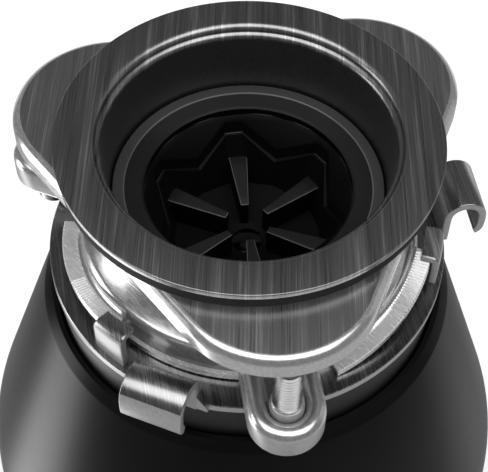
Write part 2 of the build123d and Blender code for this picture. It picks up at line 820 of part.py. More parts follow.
with BuildPart() as discharge_elbow:
    with BuildLine() as elbow_path:
        elbow_run = Line(
            (0, -elbow_face, outlet_height),
            (0, -elbow_face - elbow_collar_thickness - elbow_neck_length, outlet_height),
        )
        elbow_bend = TangentArc(
            elbow_run @ 1,
            elbow_run @ 1 + Vector(0, -elbow_bend_radius, -elbow_bend_radius),
            tangent=(0, -1, 0),
        )
        Line(elbow_bend @ 1, elbow_bend @ 1 + Vector(0, 0, -elbow_tail_length))
    with BuildSketch(Plane(origin=elbow_run @ 0, x_dir=(1, 0, 0), z_dir=(0, -1, 0))):
        Circle(elbow_radius)
    sweep(path=elbow_path.line)
    with BuildSketch(Plane.XZ.offset(elbow_face)):
        with Locations((0, outlet_height)):
            Circle(elbow_collar_radius)
    extrude(amount=elbow_collar_thickness)
    with BuildSketch(Plane(origin=elbow_run @ 0, x_dir=(1, 0, 0), z_dir=(0, -1, 0))):
        Circle(elbow_radius - elbow_wall)
    sweep(path=elbow_path.line, mode=Mode.SUBTRACT)
save(discharge_elbow, "discharge_elbow")

clamp_face = elbow_face + elbow_collar_thickness
with BuildPart() as discharge_flange:
    with BuildSketch(Plane.XZ.offset(clamp_face)):
        with Locations((0, outlet_height)):
            Circle(elbow_collar_radius + clamp_flange_margin)
            with Locations((outlet_screw_offset, 0), (-outlet_screw_offset, 0)):
                Circle(outlet_flange_half_width - outlet_screw_offset)
        make_hull()
        with Locations((0, outlet_height)):
            Circle(elbow_radius + clamp_flange_gap, mode=Mode.SUBTRACT)
            with Locations((outlet_screw_offset, 0), (-outlet_screw_offset, 0)):
                Circle(outlet_screw_radius, mode=Mode.SUBTRACT)
    extrude(amount=clamp_flange_thickness)
save(discharge_flange, "discharge_flange")

with BuildPart() as discharge_screws:
    screw_length = outlet_flange_thickness + outlet_gasket_thickness + elbow_collar_thickness
    screw_length = screw_length + clamp_flange_thickness
    discharge_screw = screw(
        outlet_screw_radius, screw_length, outlet_screw_head_radius, outlet_screw_head_height
    )
    for side in (-1, 1):
        head_top = clamp_face + clamp_flange_thickness + outlet_screw_head_height
        seat = Plane(origin=(side * outlet_screw_offset, -head_top, outlet_height), z_dir=(0, -1, 0))
        add(discharge_screw.moved(seat.location))
save(discharge_screws, "discharge_screws")

# ---- Shells and insulation ----


def shell_radius(drop):
    """Outer radius of the upper shell at a level on its slope."""
    return shell_shoulder_radius + (drop - shell_shoulder_drop) * shell_slope


wall_run = shell_wall * (1 + shell_slope**2) ** 0.5
with BuildPart() as outer_shell:
    parting = shell_parting_height + shell_parting_gap
    revolve(
        section(
            (shell_mouth_radius, at(shell_mouth_drop)),
            (shell_shoulder_radius - shell_edge_run, at(shell_mouth_drop)),
            (shell_shoulder_radius, at(shell_shoulder_drop)),
            (body_radius, at(shell_waist_drop)),
            (body_radius, parting),
            (body_radius - shell_wall, parting),
            (body_radius - shell_wall, at(shell_waist_drop)),
            (shell_shoulder_radius - wall_run, at(shell_shoulder_drop)),
            (shell_mouth_radius, at(shell_shoulder_drop)),
        ),
        axis=Axis.Z,
    )
    waist_edges = [
        edge
        for edge in outer_shell.edges().filter_by(GeomType.CIRCLE)
        if abs(edge.center().Z - at(shell_waist_drop)) < 0.1
    ]
    fillet(waist_edges, shell_waist_fillet)
    with BuildSketch(Plane.XZ):
        with Locations((0, outlet_height)):
            Circle(outlet_boss_radius + outlet_hole_gap)
    extrude(amount=body_radius, mode=Mode.SUBTRACT)
    with BuildSketch(Plane.XZ):
        with Locations((0, inlet_height)):
            Circle(inlet_boss_radius + inlet_hole_gap)
    extrude(amount=-body_radius, mode=Mode.SUBTRACT)
save(outer_shell, "outer_shell")

with BuildPart() as sound_insulation:
    bend_drop = shell_waist_drop - insulation_bend[0]
    foam_top_radius = shell_radius(insulation_top_drop) - wall_run - insulation_gap
    foam_bend_radius = shell_radius(bend_drop) - wall_run - insulation_gap - insulation_slack
    foam_radius = body_radius - shell_wall - insulation_slack
    foam_waist = at(shell_waist_drop + insulation_bend[1])
    foam_foot = parting + insulation_foot_rise
    revolve(
        section(
            (foam_top_radius, at(insulation_top_drop)),
            (foam_bend_radius, at(bend_drop)),
            (foam_radius, foam_waist),
            (foam_radius, foam_foot),
            (foam_radius - insulation_thickness, foam_foot),
            (foam_radius - insulation_thickness, foam_waist),
            (foam_bend_radius - insulation_thickness, at(bend_drop)),
            (foam_top_radius - insulation_thickness, at(insulation_top_drop)),
        ),
        axis=Axis.Z,
    )
    with BuildSketch(Plane.XZ):
        with Locations((0, outlet_height)):
            Circle(outlet_boss_radius + 2 * outlet_hole_gap)
    extrude(amount=body_radius, mode=Mode.SUBTRACT)
    with BuildSketch(Plane.XZ):
        with Locations((0, inlet_height)):
            Circle(inlet_boss_radius + inlet_hole_gap)
    extrude(amount=-body_radius, mode=Mode.SUBTRACT)
save(sound_insulation, "sound_insulation")

with BuildPart() as lower_shell:
    taper_radius = body_radius - shell_foot_taper
    revolve(
        section(
            (body_radius, shell_parting_height),
            (body_radius - shell_wall, shell_parting_height),
            (body_radius - shell_wall, shell_foot_taper_height),
            (taper_radius - shell_wall, shell_foot_height),
            (taper_radius, shell_foot_height),
            (body_radius, shell_foot_taper_height),
        ),
        axis=Axis.Z,
    )
save(lower_shell, "lower_shell")

# ---- Motor ----

end_frame_top = end_frame_height + end_frame_thickness
with BuildPart() as motor_frame:
    revolve(
        ring_section(
            motor_frame_radius - motor_frame_wall, motor_frame_radius, end_frame_top, at(drain_foot_drop)
        ),
        axis=Axis.Z,
    )
save(motor_frame, "motor_frame")

with BuildPart() as lower_end_frame:
    seat_radius = bearing_outer_radius + bearing_seat_wall
    revolve(
        section(
            (bearing_outer_radius, lower_bearing_height),
            (seat_radius, lower_bearing_height),
            (seat_radius + bearing_seat_flare, end_frame_height),
            (drain_skirt_radius, end_frame_height),
            (drain_skirt_radius, end_frame_top),
            (seat_radius + bearing_seat_flare, end_frame_top),
            (seat_radius, lower_bearing_height + lower_bearing_length),
            (bearing_outer_radius, lower_bearing_height + lower_bearing_length),
        ),
        axis=Axis.Z,
    )
    with BuildSketch(Plane.XY.offset(end_frame_height)):
        with PolarLocations(through_bolt_circle, through_bolt_count, start_angle=through_bolt_angle):
            Circle(through_bolt_radius)
        with PolarLocations(vent_circle, vent_count):
            Rectangle(*vent_size)
        with PolarLocations(post_circle, post_count, start_angle=post_angle):
            Circle(small_screw_radius)
    extrude(amount=end_frame_thickness, mode=Mode.SUBTRACT)
save(lower_end_frame, "lower_end_frame")

with BuildPart() as through_bolts:
    bolt_top = at(drain_foot_drop) + drain_skirt_height - through_bolt_hole_end
    with BuildSketch(Plane.XY.offset(end_frame_height)):
        with PolarLocations(through_bolt_circle, through_bolt_count, start_angle=through_bolt_angle):
            Circle(through_bolt_radius)
    extrude(amount=bolt_top - end_frame_height)
    with BuildSketch(Plane.XY.offset(end_frame_height)):
        with PolarLocations(through_bolt_circle, through_bolt_count, start_angle=through_bolt_angle):
            RegularPolygon(through_bolt_head_radius, 6)
    extrude(amount=-through_bolt_head_height)
save(through_bolts, "through_bolts")

with BuildPart() as stator_core:
    with BuildSketch(Plane.XY.offset(core_foot_height)):
        Circle(motor_frame_radius - motor_frame_wall)
        Circle(stator_bore_radius, mode=Mode.SUBTRACT)
        with PolarLocations(slot_circle, slot_count):
            Rectangle(*slot_size, mode=Mode.SUBTRACT)
    extrude(amount=core_top_height - core_foot_height)
save(stator_core, "stator_core")

with BuildPart() as stator_windings:
    for low in (core_foot_height - winding_height, core_top_height):
        high = low + winding_height
        revolve(ring_section(winding_inner_radius, winding_outer_radius, low, high), axis=Axis.Z)
    fillet(stator_windings.edges().filter_by(GeomType.CIRCLE), winding_round)
save(stator_windings, "stator_windings")

upper_bearing_height = drain_floor - drain_floor_thickness + upper_bearing_rise
with BuildPart() as upper_bearing:
    revolve(
        ring_section(
            shaft_radius + running_gap,
            bearing_outer_radius,
            upper_bearing_height,
            upper_bearing_height + upper_bearing_length,
        ),
        axis=Axis.Z,
    )
save(upper_bearing, "upper_bearing")

with BuildPart() as lower_bearing:
    revolve(
        ring_section(
            shaft_radius + running_gap,
            bearing_outer_radius,
            lower_bearing_height,
            lower_bearing_height + lower_bearing_length,
        ),
        axis=Axis.Z,
    )
save(lower_bearing, "lower_bearing")

with BuildPart() as shaft_seal:
    seal_top = at(bearing_tube_drop) - seal_depth
    revolve(
        ring_section(shaft_radius + running_gap, bearing_outer_radius, seal_top - seal_length, seal_top),
        axis=Axis.Z,
    )
save(shaft_seal, "shaft_seal")

# ---- Rotor: shaft, core, cage, turntable, nut, lug pins ----

turntable_top = at(turntable_drop)
with BuildPart() as rotor_shaft:
    shaft_top = turntable_top + turntable_nut_height - shaft_end_depth
    with BuildSketch(Plane.XY.offset(shaft_foot_height)):
        Circle(shaft_radius)
    extrude(amount=shaft_top - shaft_foot_height)
    chamfer(rotor_shaft.edges().group_by(Axis.Z)[-1], shaft_chamfer)
    with BuildSketch(Plane.XY.offset(shaft_foot_height)):
        RegularPolygon(shaft_socket_width / 2, 6, major_radius=False)
    extrude(amount=shaft_socket_depth, mode=Mode.SUBTRACT)
save(rotor_shaft, "rotor_shaft")

with BuildPart() as rotor_core:
    revolve(
        ring_section(shaft_radius, stator_bore_radius - air_gap, core_foot_height, core_top_height),
        axis=Axis.Z,
    )
save(rotor_core, "rotor_core")

with BuildPart() as rotor_cage:
    for low in (core_foot_height - cage_height, core_top_height):
        revolve(ring_section(cage_inner_radius, cage_outer_radius, low, low + cage_height), axis=Axis.Z)
save(rotor_cage, "rotor_cage")

with BuildPart() as turntable:
    hub_foot = at(bearing_tube_drop) + turntable_hub_gap
    revolve(
        section(
            (shaft_radius, hub_foot),
            (turntable_hub_radius, hub_foot),
            (turntable_hub_radius, turntable_top - turntable_thickness),
            (turntable_radius, turntable_top - turntable_thickness),
            (turntable_radius, turntable_top),
            (shaft_radius, turntable_top),
        ),
        axis=Axis.Z,
    )
    with BuildSketch(Plane.XY.offset(turntable_top)):
        with PolarLocations(lug_circle, lug_count):
            Circle(lug_pin_radius)
        with PolarLocations(turntable_radius, turntable_notch_count, start_angle=turntable_notch_angle):
            Rectangle(*turntable_notch_size)
    extrude(amount=-turntable_thickness, mode=Mode.SUBTRACT)
save(turntable, "turntable")

with BuildPart() as turntable_nut:
    with BuildSketch(Plane.XY.offset(turntable_top)):
        RegularPolygon(turntable_nut_width / 2, 6, major_radius=False)
        Circle(shaft_radius, mode=Mode.SUBTRACT)
    extrude(amount=turntable_nut_height)
save(turntable_nut, "turntable_nut")

lug_foot = turntable_top + body_gap
with BuildPart() as lug_pins:
    pin_foot = turntable_top - turntable_thickness - lug_pin_rivet
    head_foot = lug_foot + lug_thickness + body_gap
    with BuildSketch(Plane.XY.offset(pin_foot)):
        with PolarLocations(lug_circle, lug_count):
            Circle(lug_pin_radius)
    extrude(amount=head_foot - pin_foot)
    with BuildSketch(Plane.XY.offset(head_foot)):
        with PolarLocations(lug_circle, lug_count):
            Circle(lug_pin_head_radius)
    extrude(amount=lug_pin_head_height)
save(lug_pins, "lug_pins")

for lug_index in range(lug_count):
    lug_side = 1 - 2 * lug_index
    with BuildPart() as swivel_lug:
        with BuildSketch(Plane.XY.offset(lug_foot)):
            with Locations((lug_side * lug_circle, 0)):
                Circle(lug_round_radius)
            with Locations((lug_side * lug_circle, -lug_side * lug_reach)):
                Circle(lug_nose_radius)
            make_hull()
            with Locations((lug_side * lug_circle, 0)):
                Circle(lug_pin_radius + running_gap, mode=Mode.SUBTRACT)
        extrude(amount=lug_thickness)
    save(swivel_lug, f"swivel_lug_{lug_index + 1}")

# ---- Bottom cover and electrics ----

cover_radius = body_radius - shell_foot_taper - shell_wall
with BuildPart() as bottom_cover:
    with BuildSketch(Plane.XY.offset(foot_height)):
        Circle(cover_radius)
    extrude(amount=cover_thickness)
    revolve(ring_section(foot_inner_radius, foot_outer_radius, 0, foot_height), axis=Axis.Z)
    with BuildSketch(Plane.XY.offset(cover_top_height)):
        with PolarLocations(post_circle, post_count, start_angle=post_angle):
            Circle(post_radius)
    extrude(amount=end_frame_height - cover_top_height)
    with BuildSketch(Plane.XY.offset(foot_height)):
        Circle(socket_hole_radius)
        with Locations(button_place):
            Circle(button_radius + body_gap)
        with Locations(conduit_place):
            Circle(conduit_radius)
        with Locations(hatch_place):
            Rectangle(hatch_size[0] - 2 * hatch_margin, hatch_size[1] - 4 * hatch_margin)
            with Locations((0, hatch_screw_offset), (0, -hatch_screw_offset)):
                Circle(small_screw_radius)
        with Locations(ground_screw_place):
            Circle(small_screw_radius)
    extrude(amount=cover_thickness, mode=Mode.SUBTRACT)
    with BuildSketch(Plane.XY.offset(foot_height)):
        with PolarLocations(post_circle, post_count, start_angle=post_angle):
            Circle(small_screw_radius)
    extrude(amount=end_frame_height - foot_height, mode=Mode.SUBTRACT)
save(bottom_cover, "bottom_cover")

cover_screw = screw(
    small_screw_radius, end_frame_top - foot_height, small_screw_head_radius, small_screw_head_height
)
with BuildPart() as cover_screws:
    for post_index in range(post_count):
        turn = radians(post_angle + post_index * 360 / post_count)
        seat = Plane(
            origin=(post_circle * cos(turn), post_circle * sin(turn), foot_height - small_screw_head_height),
            z_dir=(0, 0, -1),
        )
        add(cover_screw.moved(seat.location))
save(cover_screws, "cover_screws")

with BuildPart() as terminal_hatch:
    with BuildSketch(Plane.XY.offset(foot_height - hatch_thickness)):
        with Locations(hatch_place):
            RectangleRounded(*hatch_size, hatch_corner_radius)
            with Locations((0, hatch_screw_offset), (0, -hatch_screw_offset)):
                Circle(small_screw_radius, mode=Mode.SUBTRACT)
    extrude(amount=hatch_thickness)
save(terminal_hatch, "terminal_hatch")

hatch_screw = screw(
    small_screw_radius, hatch_thickness + cover_thickness, small_screw_head_radius, hatch_screw_head_height
)
with BuildPart() as hatch_screws:
    for side in (-1, 1):
        seat = Plane(
            origin=(
                hatch_place[0],
                hatch_place[1] + side * hatch_screw_offset,
                foot_height - hatch_thickness - hatch_screw_head_height,
            ),
            z_dir=(0, 0, -1),
        )
        add(hatch_screw.moved(seat.location))
save(hatch_screws, "hatch_screws")

with BuildPart() as ground_screw:
    with BuildSketch(Plane((*ground_screw_place, foot_height))):
        Circle(small_screw_radius)
    extrude(amount=cover_thickness)
    with BuildSketch(Plane((*ground_screw_place, foot_height))):
        RegularPolygon(ground_screw_head_radius, 6)
    extrude(amount=-ground_screw_head_height)
save(ground_screw, "ground_screw")

button_foot = foot_height - button_proud
button_top = cover_top_height + button_depth
with BuildPart() as overload_protector:
    with BuildSketch(Plane.XY.offset(cover_top_height)):
        with Locations(button_place):
            Rectangle(protector_size[0], protector_size[1])
    extrude(amount=protector_size[2])
    fillet(overload_protector.edges().filter_by(Axis.Z), box_corner_radius)
    with BuildSketch(Plane.XY.offset(cover_top_height)):
        with Locations(button_place):
            Circle(button_radius + body_gap)
    extrude(amount=button_top - cover_top_height + button_travel + body_gap, mode=Mode.SUBTRACT)
save(overload_protector, "overload_protector")

with BuildPart() as reset_button:
    with BuildSketch(Plane((*button_place, button_foot))):
        Circle(button_radius)
    extrude(amount=button_top - button_foot)
    fillet(reset_button.edges().group_by(Axis.Z)[0], button_edge_radius)
save(reset_button, "reset_button")

with BuildPart() as start_relay:
    with BuildSketch(Plane.XY.offset(cover_top_height)):
        with Locations(relay_place):
            Rectangle(relay_size[0], relay_size[1])
    extrude(amount=relay_size[2])
    fillet(start_relay.edges().filter_by(Axis.Z), box_corner_radius)
save(start_relay, "start_relay")
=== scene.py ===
import bmesh
import bpy
import json
from math import atan2, cos, pi, radians, sin, tan
from mathutils import Matrix, Vector

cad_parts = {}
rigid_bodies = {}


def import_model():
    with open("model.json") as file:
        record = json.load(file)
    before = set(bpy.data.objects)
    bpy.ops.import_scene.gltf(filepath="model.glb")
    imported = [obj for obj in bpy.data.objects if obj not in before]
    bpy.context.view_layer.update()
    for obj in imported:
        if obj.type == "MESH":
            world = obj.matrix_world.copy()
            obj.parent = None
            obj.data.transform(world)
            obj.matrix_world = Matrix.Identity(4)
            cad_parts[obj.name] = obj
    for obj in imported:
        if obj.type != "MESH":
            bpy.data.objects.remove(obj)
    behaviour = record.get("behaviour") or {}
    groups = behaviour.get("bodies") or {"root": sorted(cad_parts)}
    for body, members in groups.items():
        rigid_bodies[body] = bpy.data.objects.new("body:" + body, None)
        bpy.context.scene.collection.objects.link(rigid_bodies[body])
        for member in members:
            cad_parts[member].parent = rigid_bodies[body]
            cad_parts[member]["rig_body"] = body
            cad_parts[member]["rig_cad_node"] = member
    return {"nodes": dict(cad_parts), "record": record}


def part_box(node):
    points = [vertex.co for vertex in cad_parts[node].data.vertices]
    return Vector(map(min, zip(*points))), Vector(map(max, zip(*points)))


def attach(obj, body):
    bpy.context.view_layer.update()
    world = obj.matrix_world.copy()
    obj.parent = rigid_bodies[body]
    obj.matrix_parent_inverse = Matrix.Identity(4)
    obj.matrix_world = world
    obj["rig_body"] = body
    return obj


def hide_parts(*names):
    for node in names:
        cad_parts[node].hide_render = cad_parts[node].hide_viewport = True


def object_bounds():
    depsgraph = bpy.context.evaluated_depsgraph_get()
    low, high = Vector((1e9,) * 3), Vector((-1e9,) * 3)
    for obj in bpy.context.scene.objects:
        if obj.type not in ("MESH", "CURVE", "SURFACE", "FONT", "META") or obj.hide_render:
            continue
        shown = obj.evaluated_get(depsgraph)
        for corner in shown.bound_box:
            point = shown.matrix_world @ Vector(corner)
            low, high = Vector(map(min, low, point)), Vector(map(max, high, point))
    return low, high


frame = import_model()
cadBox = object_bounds()
mm = 0.001
mergeGap = 0.004 * mm  # vertices closer than this are one
touch = 0.01 * mm  # how near a vertex counts as on a plane
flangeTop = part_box("sink_flange")[1].z
floorLevel = cadBox[0].z
lobeAngles = [-90.0, 30.0, 150.0]  # the three bolts, seen from above


# Heights are given as a drop below the sink flange's top, in millimetres.
def level(drop):
    return flangeTop - drop * mm


def onCircle(radius, angle, height):
    return Vector((radius * mm * cos(radians(angle)), radius * mm * sin(radians(angle)), height))


# Arc in an outline of (radius, drop) points, angles counted from outwards to upwards.
def arcPoints(centreRadius, centreDrop, arcRadius, startAngle, endAngle, steps):
    points = []
    for step in range(steps + 1):
        angle = radians(startAngle + (endAngle - startAngle) * step / steps)
        points.append((centreRadius + arcRadius * cos(angle), centreDrop - arcRadius * sin(angle)))
    return points


# Working in edit mode.
def deselectAll():
    if bpy.context.object and bpy.context.object.mode != "OBJECT":
        bpy.ops.object.mode_set(mode="OBJECT")
    bpy.ops.object.select_all(action="DESELECT")


def selectAll():
    bpy.ops.mesh.select_all(action="SELECT")


def leaveEdit():
    bpy.ops.object.mode_set(mode="OBJECT")


def applyPlace():
    bpy.ops.object.transform_apply(location=True, rotation=True, scale=True)


def useOnly(piece):
    deselectAll()
    piece.select_set(True)
    bpy.context.view_layer.objects.active = piece


def editPiece(piece):
    useOnly(piece)
    bpy.ops.object.mode_set(mode="EDIT")
    bpy.ops.mesh.select_mode(type="VERT")
    selectAll()


def pickVerts(piece, test):
    bpy.ops.mesh.select_mode(type="VERT")
    bpy.ops.mesh.select_all(action="DESELECT")
    mesh = bmesh.from_edit_mesh(piece.data)
    for vert in mesh.verts:
        vert.select = bool(test(vert.co))
    mesh.select_flush_mode()
    bmesh.update_edit_mesh(piece.data)


def pickEdges(piece, test):
    bpy.ops.mesh.select_mode(type="EDGE")
    bpy.ops.mesh.select_all(action="DESELECT")
    mesh = bmesh.from_edit_mesh(piece.data)
    for edge in mesh.edges:
        edge.select = bool(test(edge.verts[0].co, edge.verts[1].co))
    mesh.select_flush_mode()
    bmesh.update_edit_mesh(piece.data)


def pickFaces(piece, test):
    bpy.ops.mesh.select_mode(type="FACE")
    bpy.ops.mesh.select_all(action="DESELECT")
    mesh = bmesh.from_edit_mesh(piece.data)
    for face in mesh.faces:
        face.select = bool(test(face.calc_center_median(), face.normal))
    mesh.select_flush_mode()
    bmesh.update_edit_mesh(piece.data)


def pullBy(x=0.0, y=0.0, z=0.0):
    bpy.ops.mesh.extrude_region_move(TRANSFORM_OT_translate={"value": (x, y, z)})


# Draws a chain of edges from point to point, starting from one vertex.
def drawOutline(name, points, closed=True):
    deselectAll()
    bpy.ops.mesh.primitive_plane_add(size=mm)
    piece = bpy.context.object
    piece.name = name
    bpy.ops.object.mode_set(mode="EDIT")
    bpy.ops.mesh.select_mode(type="VERT")
    selectAll()
    bpy.ops.mesh.merge(type="CENTER")
    bpy.ops.transform.translate(value=points[0])
    for start, end in zip(points, points[1:]):
        bpy.ops.mesh.extrude_vertices_move(TRANSFORM_OT_translate={"value": Vector(end) - Vector(start)})
    if closed:
        mesh = bmesh.from_edit_mesh(piece.data)
        mesh.verts.ensure_lookup_table()
        ends = (mesh.verts[0].co.copy(), mesh.verts[len(mesh.verts) - 1].co.copy())
        pickVerts(piece, lambda co: co in ends)
        bpy.ops.mesh.edge_face_add()
    selectAll()
    return piece


def closeUp(piece):
    selectAll()
    bpy.ops.mesh.remove_doubles(threshold=mergeGap)
    bpy.ops.mesh.fill_holes(sides=0)
    selectAll()
    bpy.ops.mesh.normals_make_consistent(inside=False)
    leaveEdit()
    return piece


# Turns an outline of (radius, drop) points round the shaft's axis.
def spinOutline(name, outline, steps=144, closed=True):
    piece = drawOutline(name, [(radius * mm, 0.0, level(drop)) for radius, drop in outline], closed)
    bpy.ops.mesh.spin(steps=steps, angle=2 * pi, center=(0, 0, 0), axis=(0, 0, 1))
    return closeUp(piece)


def applyModifier(piece, kind, **settings):
    useOnly(piece)
    modifier = piece.modifiers.new(kind.lower(), kind)
    for key, value in settings.items():
        setattr(modifier, key, value)
    bpy.ops.object.modifier_apply(modifier=modifier.name)


# Bevels the edges that turn by more than the angle.
def bevelEdges(piece, width, segments, angle):
    applyModifier(
        piece, "BEVEL", width=width * mm, segments=segments, limit_method="ANGLE", angle_limit=radians(angle)
    )


# Sweeps an outline round the axis while it climbs.
def climbOutline(name, outline, startAngle, span, rise, steps):
    piece = drawOutline(name, [(radius * mm, 0.0, height * mm) for radius, height in outline])
    leaveEdit()
    applyModifier(
        piece, "SCREW", axis="Z", angle=radians(span), screw_offset=rise * mm, steps=steps, render_steps=steps
    )
    piece.rotation_euler.z = radians(startAngle)
    bpy.ops.object.transform_apply(rotation=True)
    editPiece(piece)
    return closeUp(piece)


def cutWith(piece, cutter, operation="DIFFERENCE"):
    applyModifier(piece, "BOOLEAN", operation=operation, solver="EXACT", object=cutter)
    bpy.data.objects.remove(cutter)


def joinPieces(name, parts):
    deselectAll()
    for part in parts:
        part.select_set(True)
    bpy.context.view_layer.objects.active = parts[0]
    bpy.ops.object.join()
    parts[0].name = name
    return parts[0]


def turnedCopies(piece, count, firstAngle=0.0):
    copies = []
    for index in range(count):
        useOnly(piece)
        bpy.ops.object.duplicate(linked=False)
        copy = bpy.context.object
        copy.rotation_euler.z = radians(firstAngle + index * 360 / count)
        bpy.ops.object.transform_apply(rotation=True)
        copies.append(copy)
    bpy.data.objects.remove(piece)
    return copies


def paintFaces(piece, material, test):
    piece.data.materials.append(material)
    index = len(piece.data.materials) - 1
    for face in piece.data.polygons:
        if test(face.center, face.normal):
            face.material_index = index


def finishPiece(piece, body, nodes, material, angle=32.0):
    useOnly(piece)
    applyPlace()
    bpy.ops.object.shade_smooth_by_angle(angle=radians(angle))
    piece.data.name = piece.name
    piece.data.materials.clear()
    piece.data.materials.append(material)
    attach(piece, body)
    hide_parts(*nodes)
    return piece


# A merged copy of a CAD node, so that its round faces shade smoothly.
def smoothCopy(name, node, body, material):
    useOnly(frame["nodes"][node])
    bpy.ops.object.duplicate(linked=False)
    piece = bpy.context.object
    piece.name = name
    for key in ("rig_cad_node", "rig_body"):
        del piece[key]
    piece.parent = None
    editPiece(piece)
    bpy.ops.mesh.remove_doubles(threshold=0.002 * mm)
    if piece.data.has_custom_normals:
        bpy.ops.mesh.customdata_custom_splitnormals_clear()
    leaveEdit()
    return finishPiece(piece, body, [node], material)


# Finishes are built from noise, ramps, ranges and bumps.
def newMaterial(name, colour, roughness, metallic=0.0):
    material = bpy.data.materials.new(name)
    material.use_nodes = True
    shader = material.node_tree.nodes["Principled BSDF"]
    shader.inputs["Base Color"].default_value = (*colour, 1.0)
    shader.inputs["Roughness"].default_value = roughness
    shader.inputs["Metallic"].default_value = metallic
    return material


# Stretched or plain noise on Object coordinates, as a grain size in millimetres along each axis.
def addNoise(material, grain, turn=0.0, detail=4.0):
    nodes, links = material.node_tree.nodes, material.node_tree.links
    place = nodes.new("ShaderNodeTexCoord")
    mapping = nodes.new("ShaderNodeMapping")
    mapping.vector_type = "TEXTURE"
    mapping.inputs["Rotation"].default_value = (0.0, 0.0, radians(turn))
    mapping.inputs["Scale"].default_value = [size * mm for size in grain]
    noise = nodes.new("ShaderNodeTexNoise")
    noise.inputs["Scale"].default_value = 1.0
    noise.inputs["Detail"].default_value = detail
    links.new(place.outputs["Object"], mapping.inputs["Vector"])
    links.new(mapping.outputs["Vector"], noise.inputs["Vector"])
    return noise.outputs["Fac"]


def addRamp(material, source, stops):
    ramp = material.node_tree.nodes.new("ShaderNodeValToRGB")
    ramp.color_ramp.elements[0].position = stops[0][0]
    ramp.color_ramp.elements[0].color = (*stops[0][1], 1.0)
    ramp.color_ramp.elements[1].position = stops[-1][0]
    ramp.color_ramp.elements[1].color = (*stops[-1][1], 1.0)
    for position, colour in stops[1:-1]:
        ramp.color_ramp.elements.new(position).color = (*colour, 1.0)
    material.node_tree.links.new(source, ramp.inputs["Fac"])
    return ramp.outputs["Color"]


def addRange(material, source, low, high, fromLow=0.3, fromHigh=0.7):
    spread = material.node_tree.nodes.new("ShaderNodeMapRange")
    spread.inputs["From Min"].default_value = fromLow
    spread.inputs["From Max"].default_value = fromHigh
    spread.inputs["To Min"].default_value = low
    spread.inputs["To Max"].default_value = high
    material.node_tree.links.new(source, spread.inputs["Value"])
    return spread.outputs["Result"]


def addBump(material, source, strength, distance):
    bump = material.node_tree.nodes.new("ShaderNodeBump")
    bump.inputs["Strength"].default_value = strength
    bump.inputs["Distance"].default_value = distance * mm
    material.node_tree.links.new(source, bump.inputs["Height"])
    return bump.outputs["Normal"]


def shade(material, **sources):
    shader = material.node_tree.nodes["Principled BSDF"]
    for name, source in sources.items():
        socket = {"colour": "Base Color", "roughness": "Roughness", "normal": "Normal"}[name]
        material.node_tree.links.new(source, shader.inputs[socket])
    return material


def grey(value):
    return (value, value, value * 1.01)


# Straight grain, all the same way across the sheet.
def makeBrushedSteel(name, grainTurn, darkest, lightest, roughness):
    material = newMaterial(name, grey(lightest), roughness, 1.0)
    fine = addNoise(material, (30.0, 0.35, 12.0), grainTurn, 6.0)
    broad = addNoise(material, (90.0, 2.6, 30.0), grainTurn, 3.0)
    mix = material.node_tree.nodes.new("ShaderNodeMix")
    mix.inputs["Factor"].default_value = 0.42
    material.node_tree.links.new(fine, mix.inputs["A"])
    material.node_tree.links.new(broad, mix.inputs["B"])
    grain = mix.outputs["Result"]
    middle = grey(darkest * 0.7 + lightest * 0.3)
    colour = addRamp(material, grain, [(0.34, grey(darkest)), (0.54, middle), (0.66, grey(lightest))])
    rough = addRange(material, grain, roughness - 0.06, roughness + 0.1)
    return shade(material, colour=colour, roughness=rough, normal=addBump(material, fine, 0.25, 0.02))


# Sheet polished by tumbling: even, with a faint waviness and a few fine marks.
def makePolishedSteel(name, value, roughness, metallic):
    material = newMaterial(name, grey(value), roughness, metallic)
    wave = addNoise(material, (9.0, 9.0, 9.0), 0.0, 2.0)
    marks = addNoise(material, (0.5, 3.5, 0.9), 35.0, 5.0)
    colour = addRamp(material, marks, [(0.28, grey(value * 0.8)), (0.62, grey(value))])
    rough = addRange(material, marks, roughness, roughness + 0.07)
    return shade(material, colour=colour, roughness=rough, normal=addBump(material, wave, 0.12, 0.12))


def makeZincPlate():
    material = newMaterial("zincPlate", grey(0.34), 0.24, 1.0)
    cloud = addNoise(material, (5.0, 5.0, 5.0), 0.0, 5.0)
    colour = addRamp(material, cloud, [(0.3, (0.25, 0.25, 0.24)), (0.7, (0.4, 0.4, 0.41))])
    return shade(
        material, colour=colour, roughness=addRange(material, cloud, 0.2, 0.36),
        normal=addBump(material, cloud, 0.1, 0.05),
    )


def makeStampedStainless():
    material = newMaterial("stampedStainless", grey(0.5), 0.32, 1.0)
    grain = addNoise(material, (14.0, 0.6, 4.0), 12.0, 5.0)
    colour = addRamp(material, grain, [(0.3, grey(0.4)), (0.7, grey(0.56))])
    return shade(material, colour=colour, roughness=addRange(material, grain, 0.26, 0.42))


def makeGroundSteel():
    material = newMaterial("groundSteel", grey(0.5), 0.2, 1.0)
    rings = addNoise(material, (8.0, 8.0, 0.25), 0.0, 4.0)
    colour = addRamp(material, rings, [(0.3, grey(0.42)), (0.7, grey(0.56))])
    return shade(material, colour=colour, roughness=addRange(material, rings, 0.15, 0.3))


def makeLaminations():
    material = newMaterial("laminatedSteel", grey(0.3), 0.42, 1.0)
    sheets = addNoise(material, (60.0, 60.0, 0.5), 0.0, 2.0)
    colour = addRamp(material, sheets, [(0.35, grey(0.16)), (0.65, grey(0.36))])
    return shade(
        material, colour=colour, roughness=addRange(material, sheets, 0.35, 0.55),
        normal=addBump(material, sheets, 0.5, 0.15),
    )


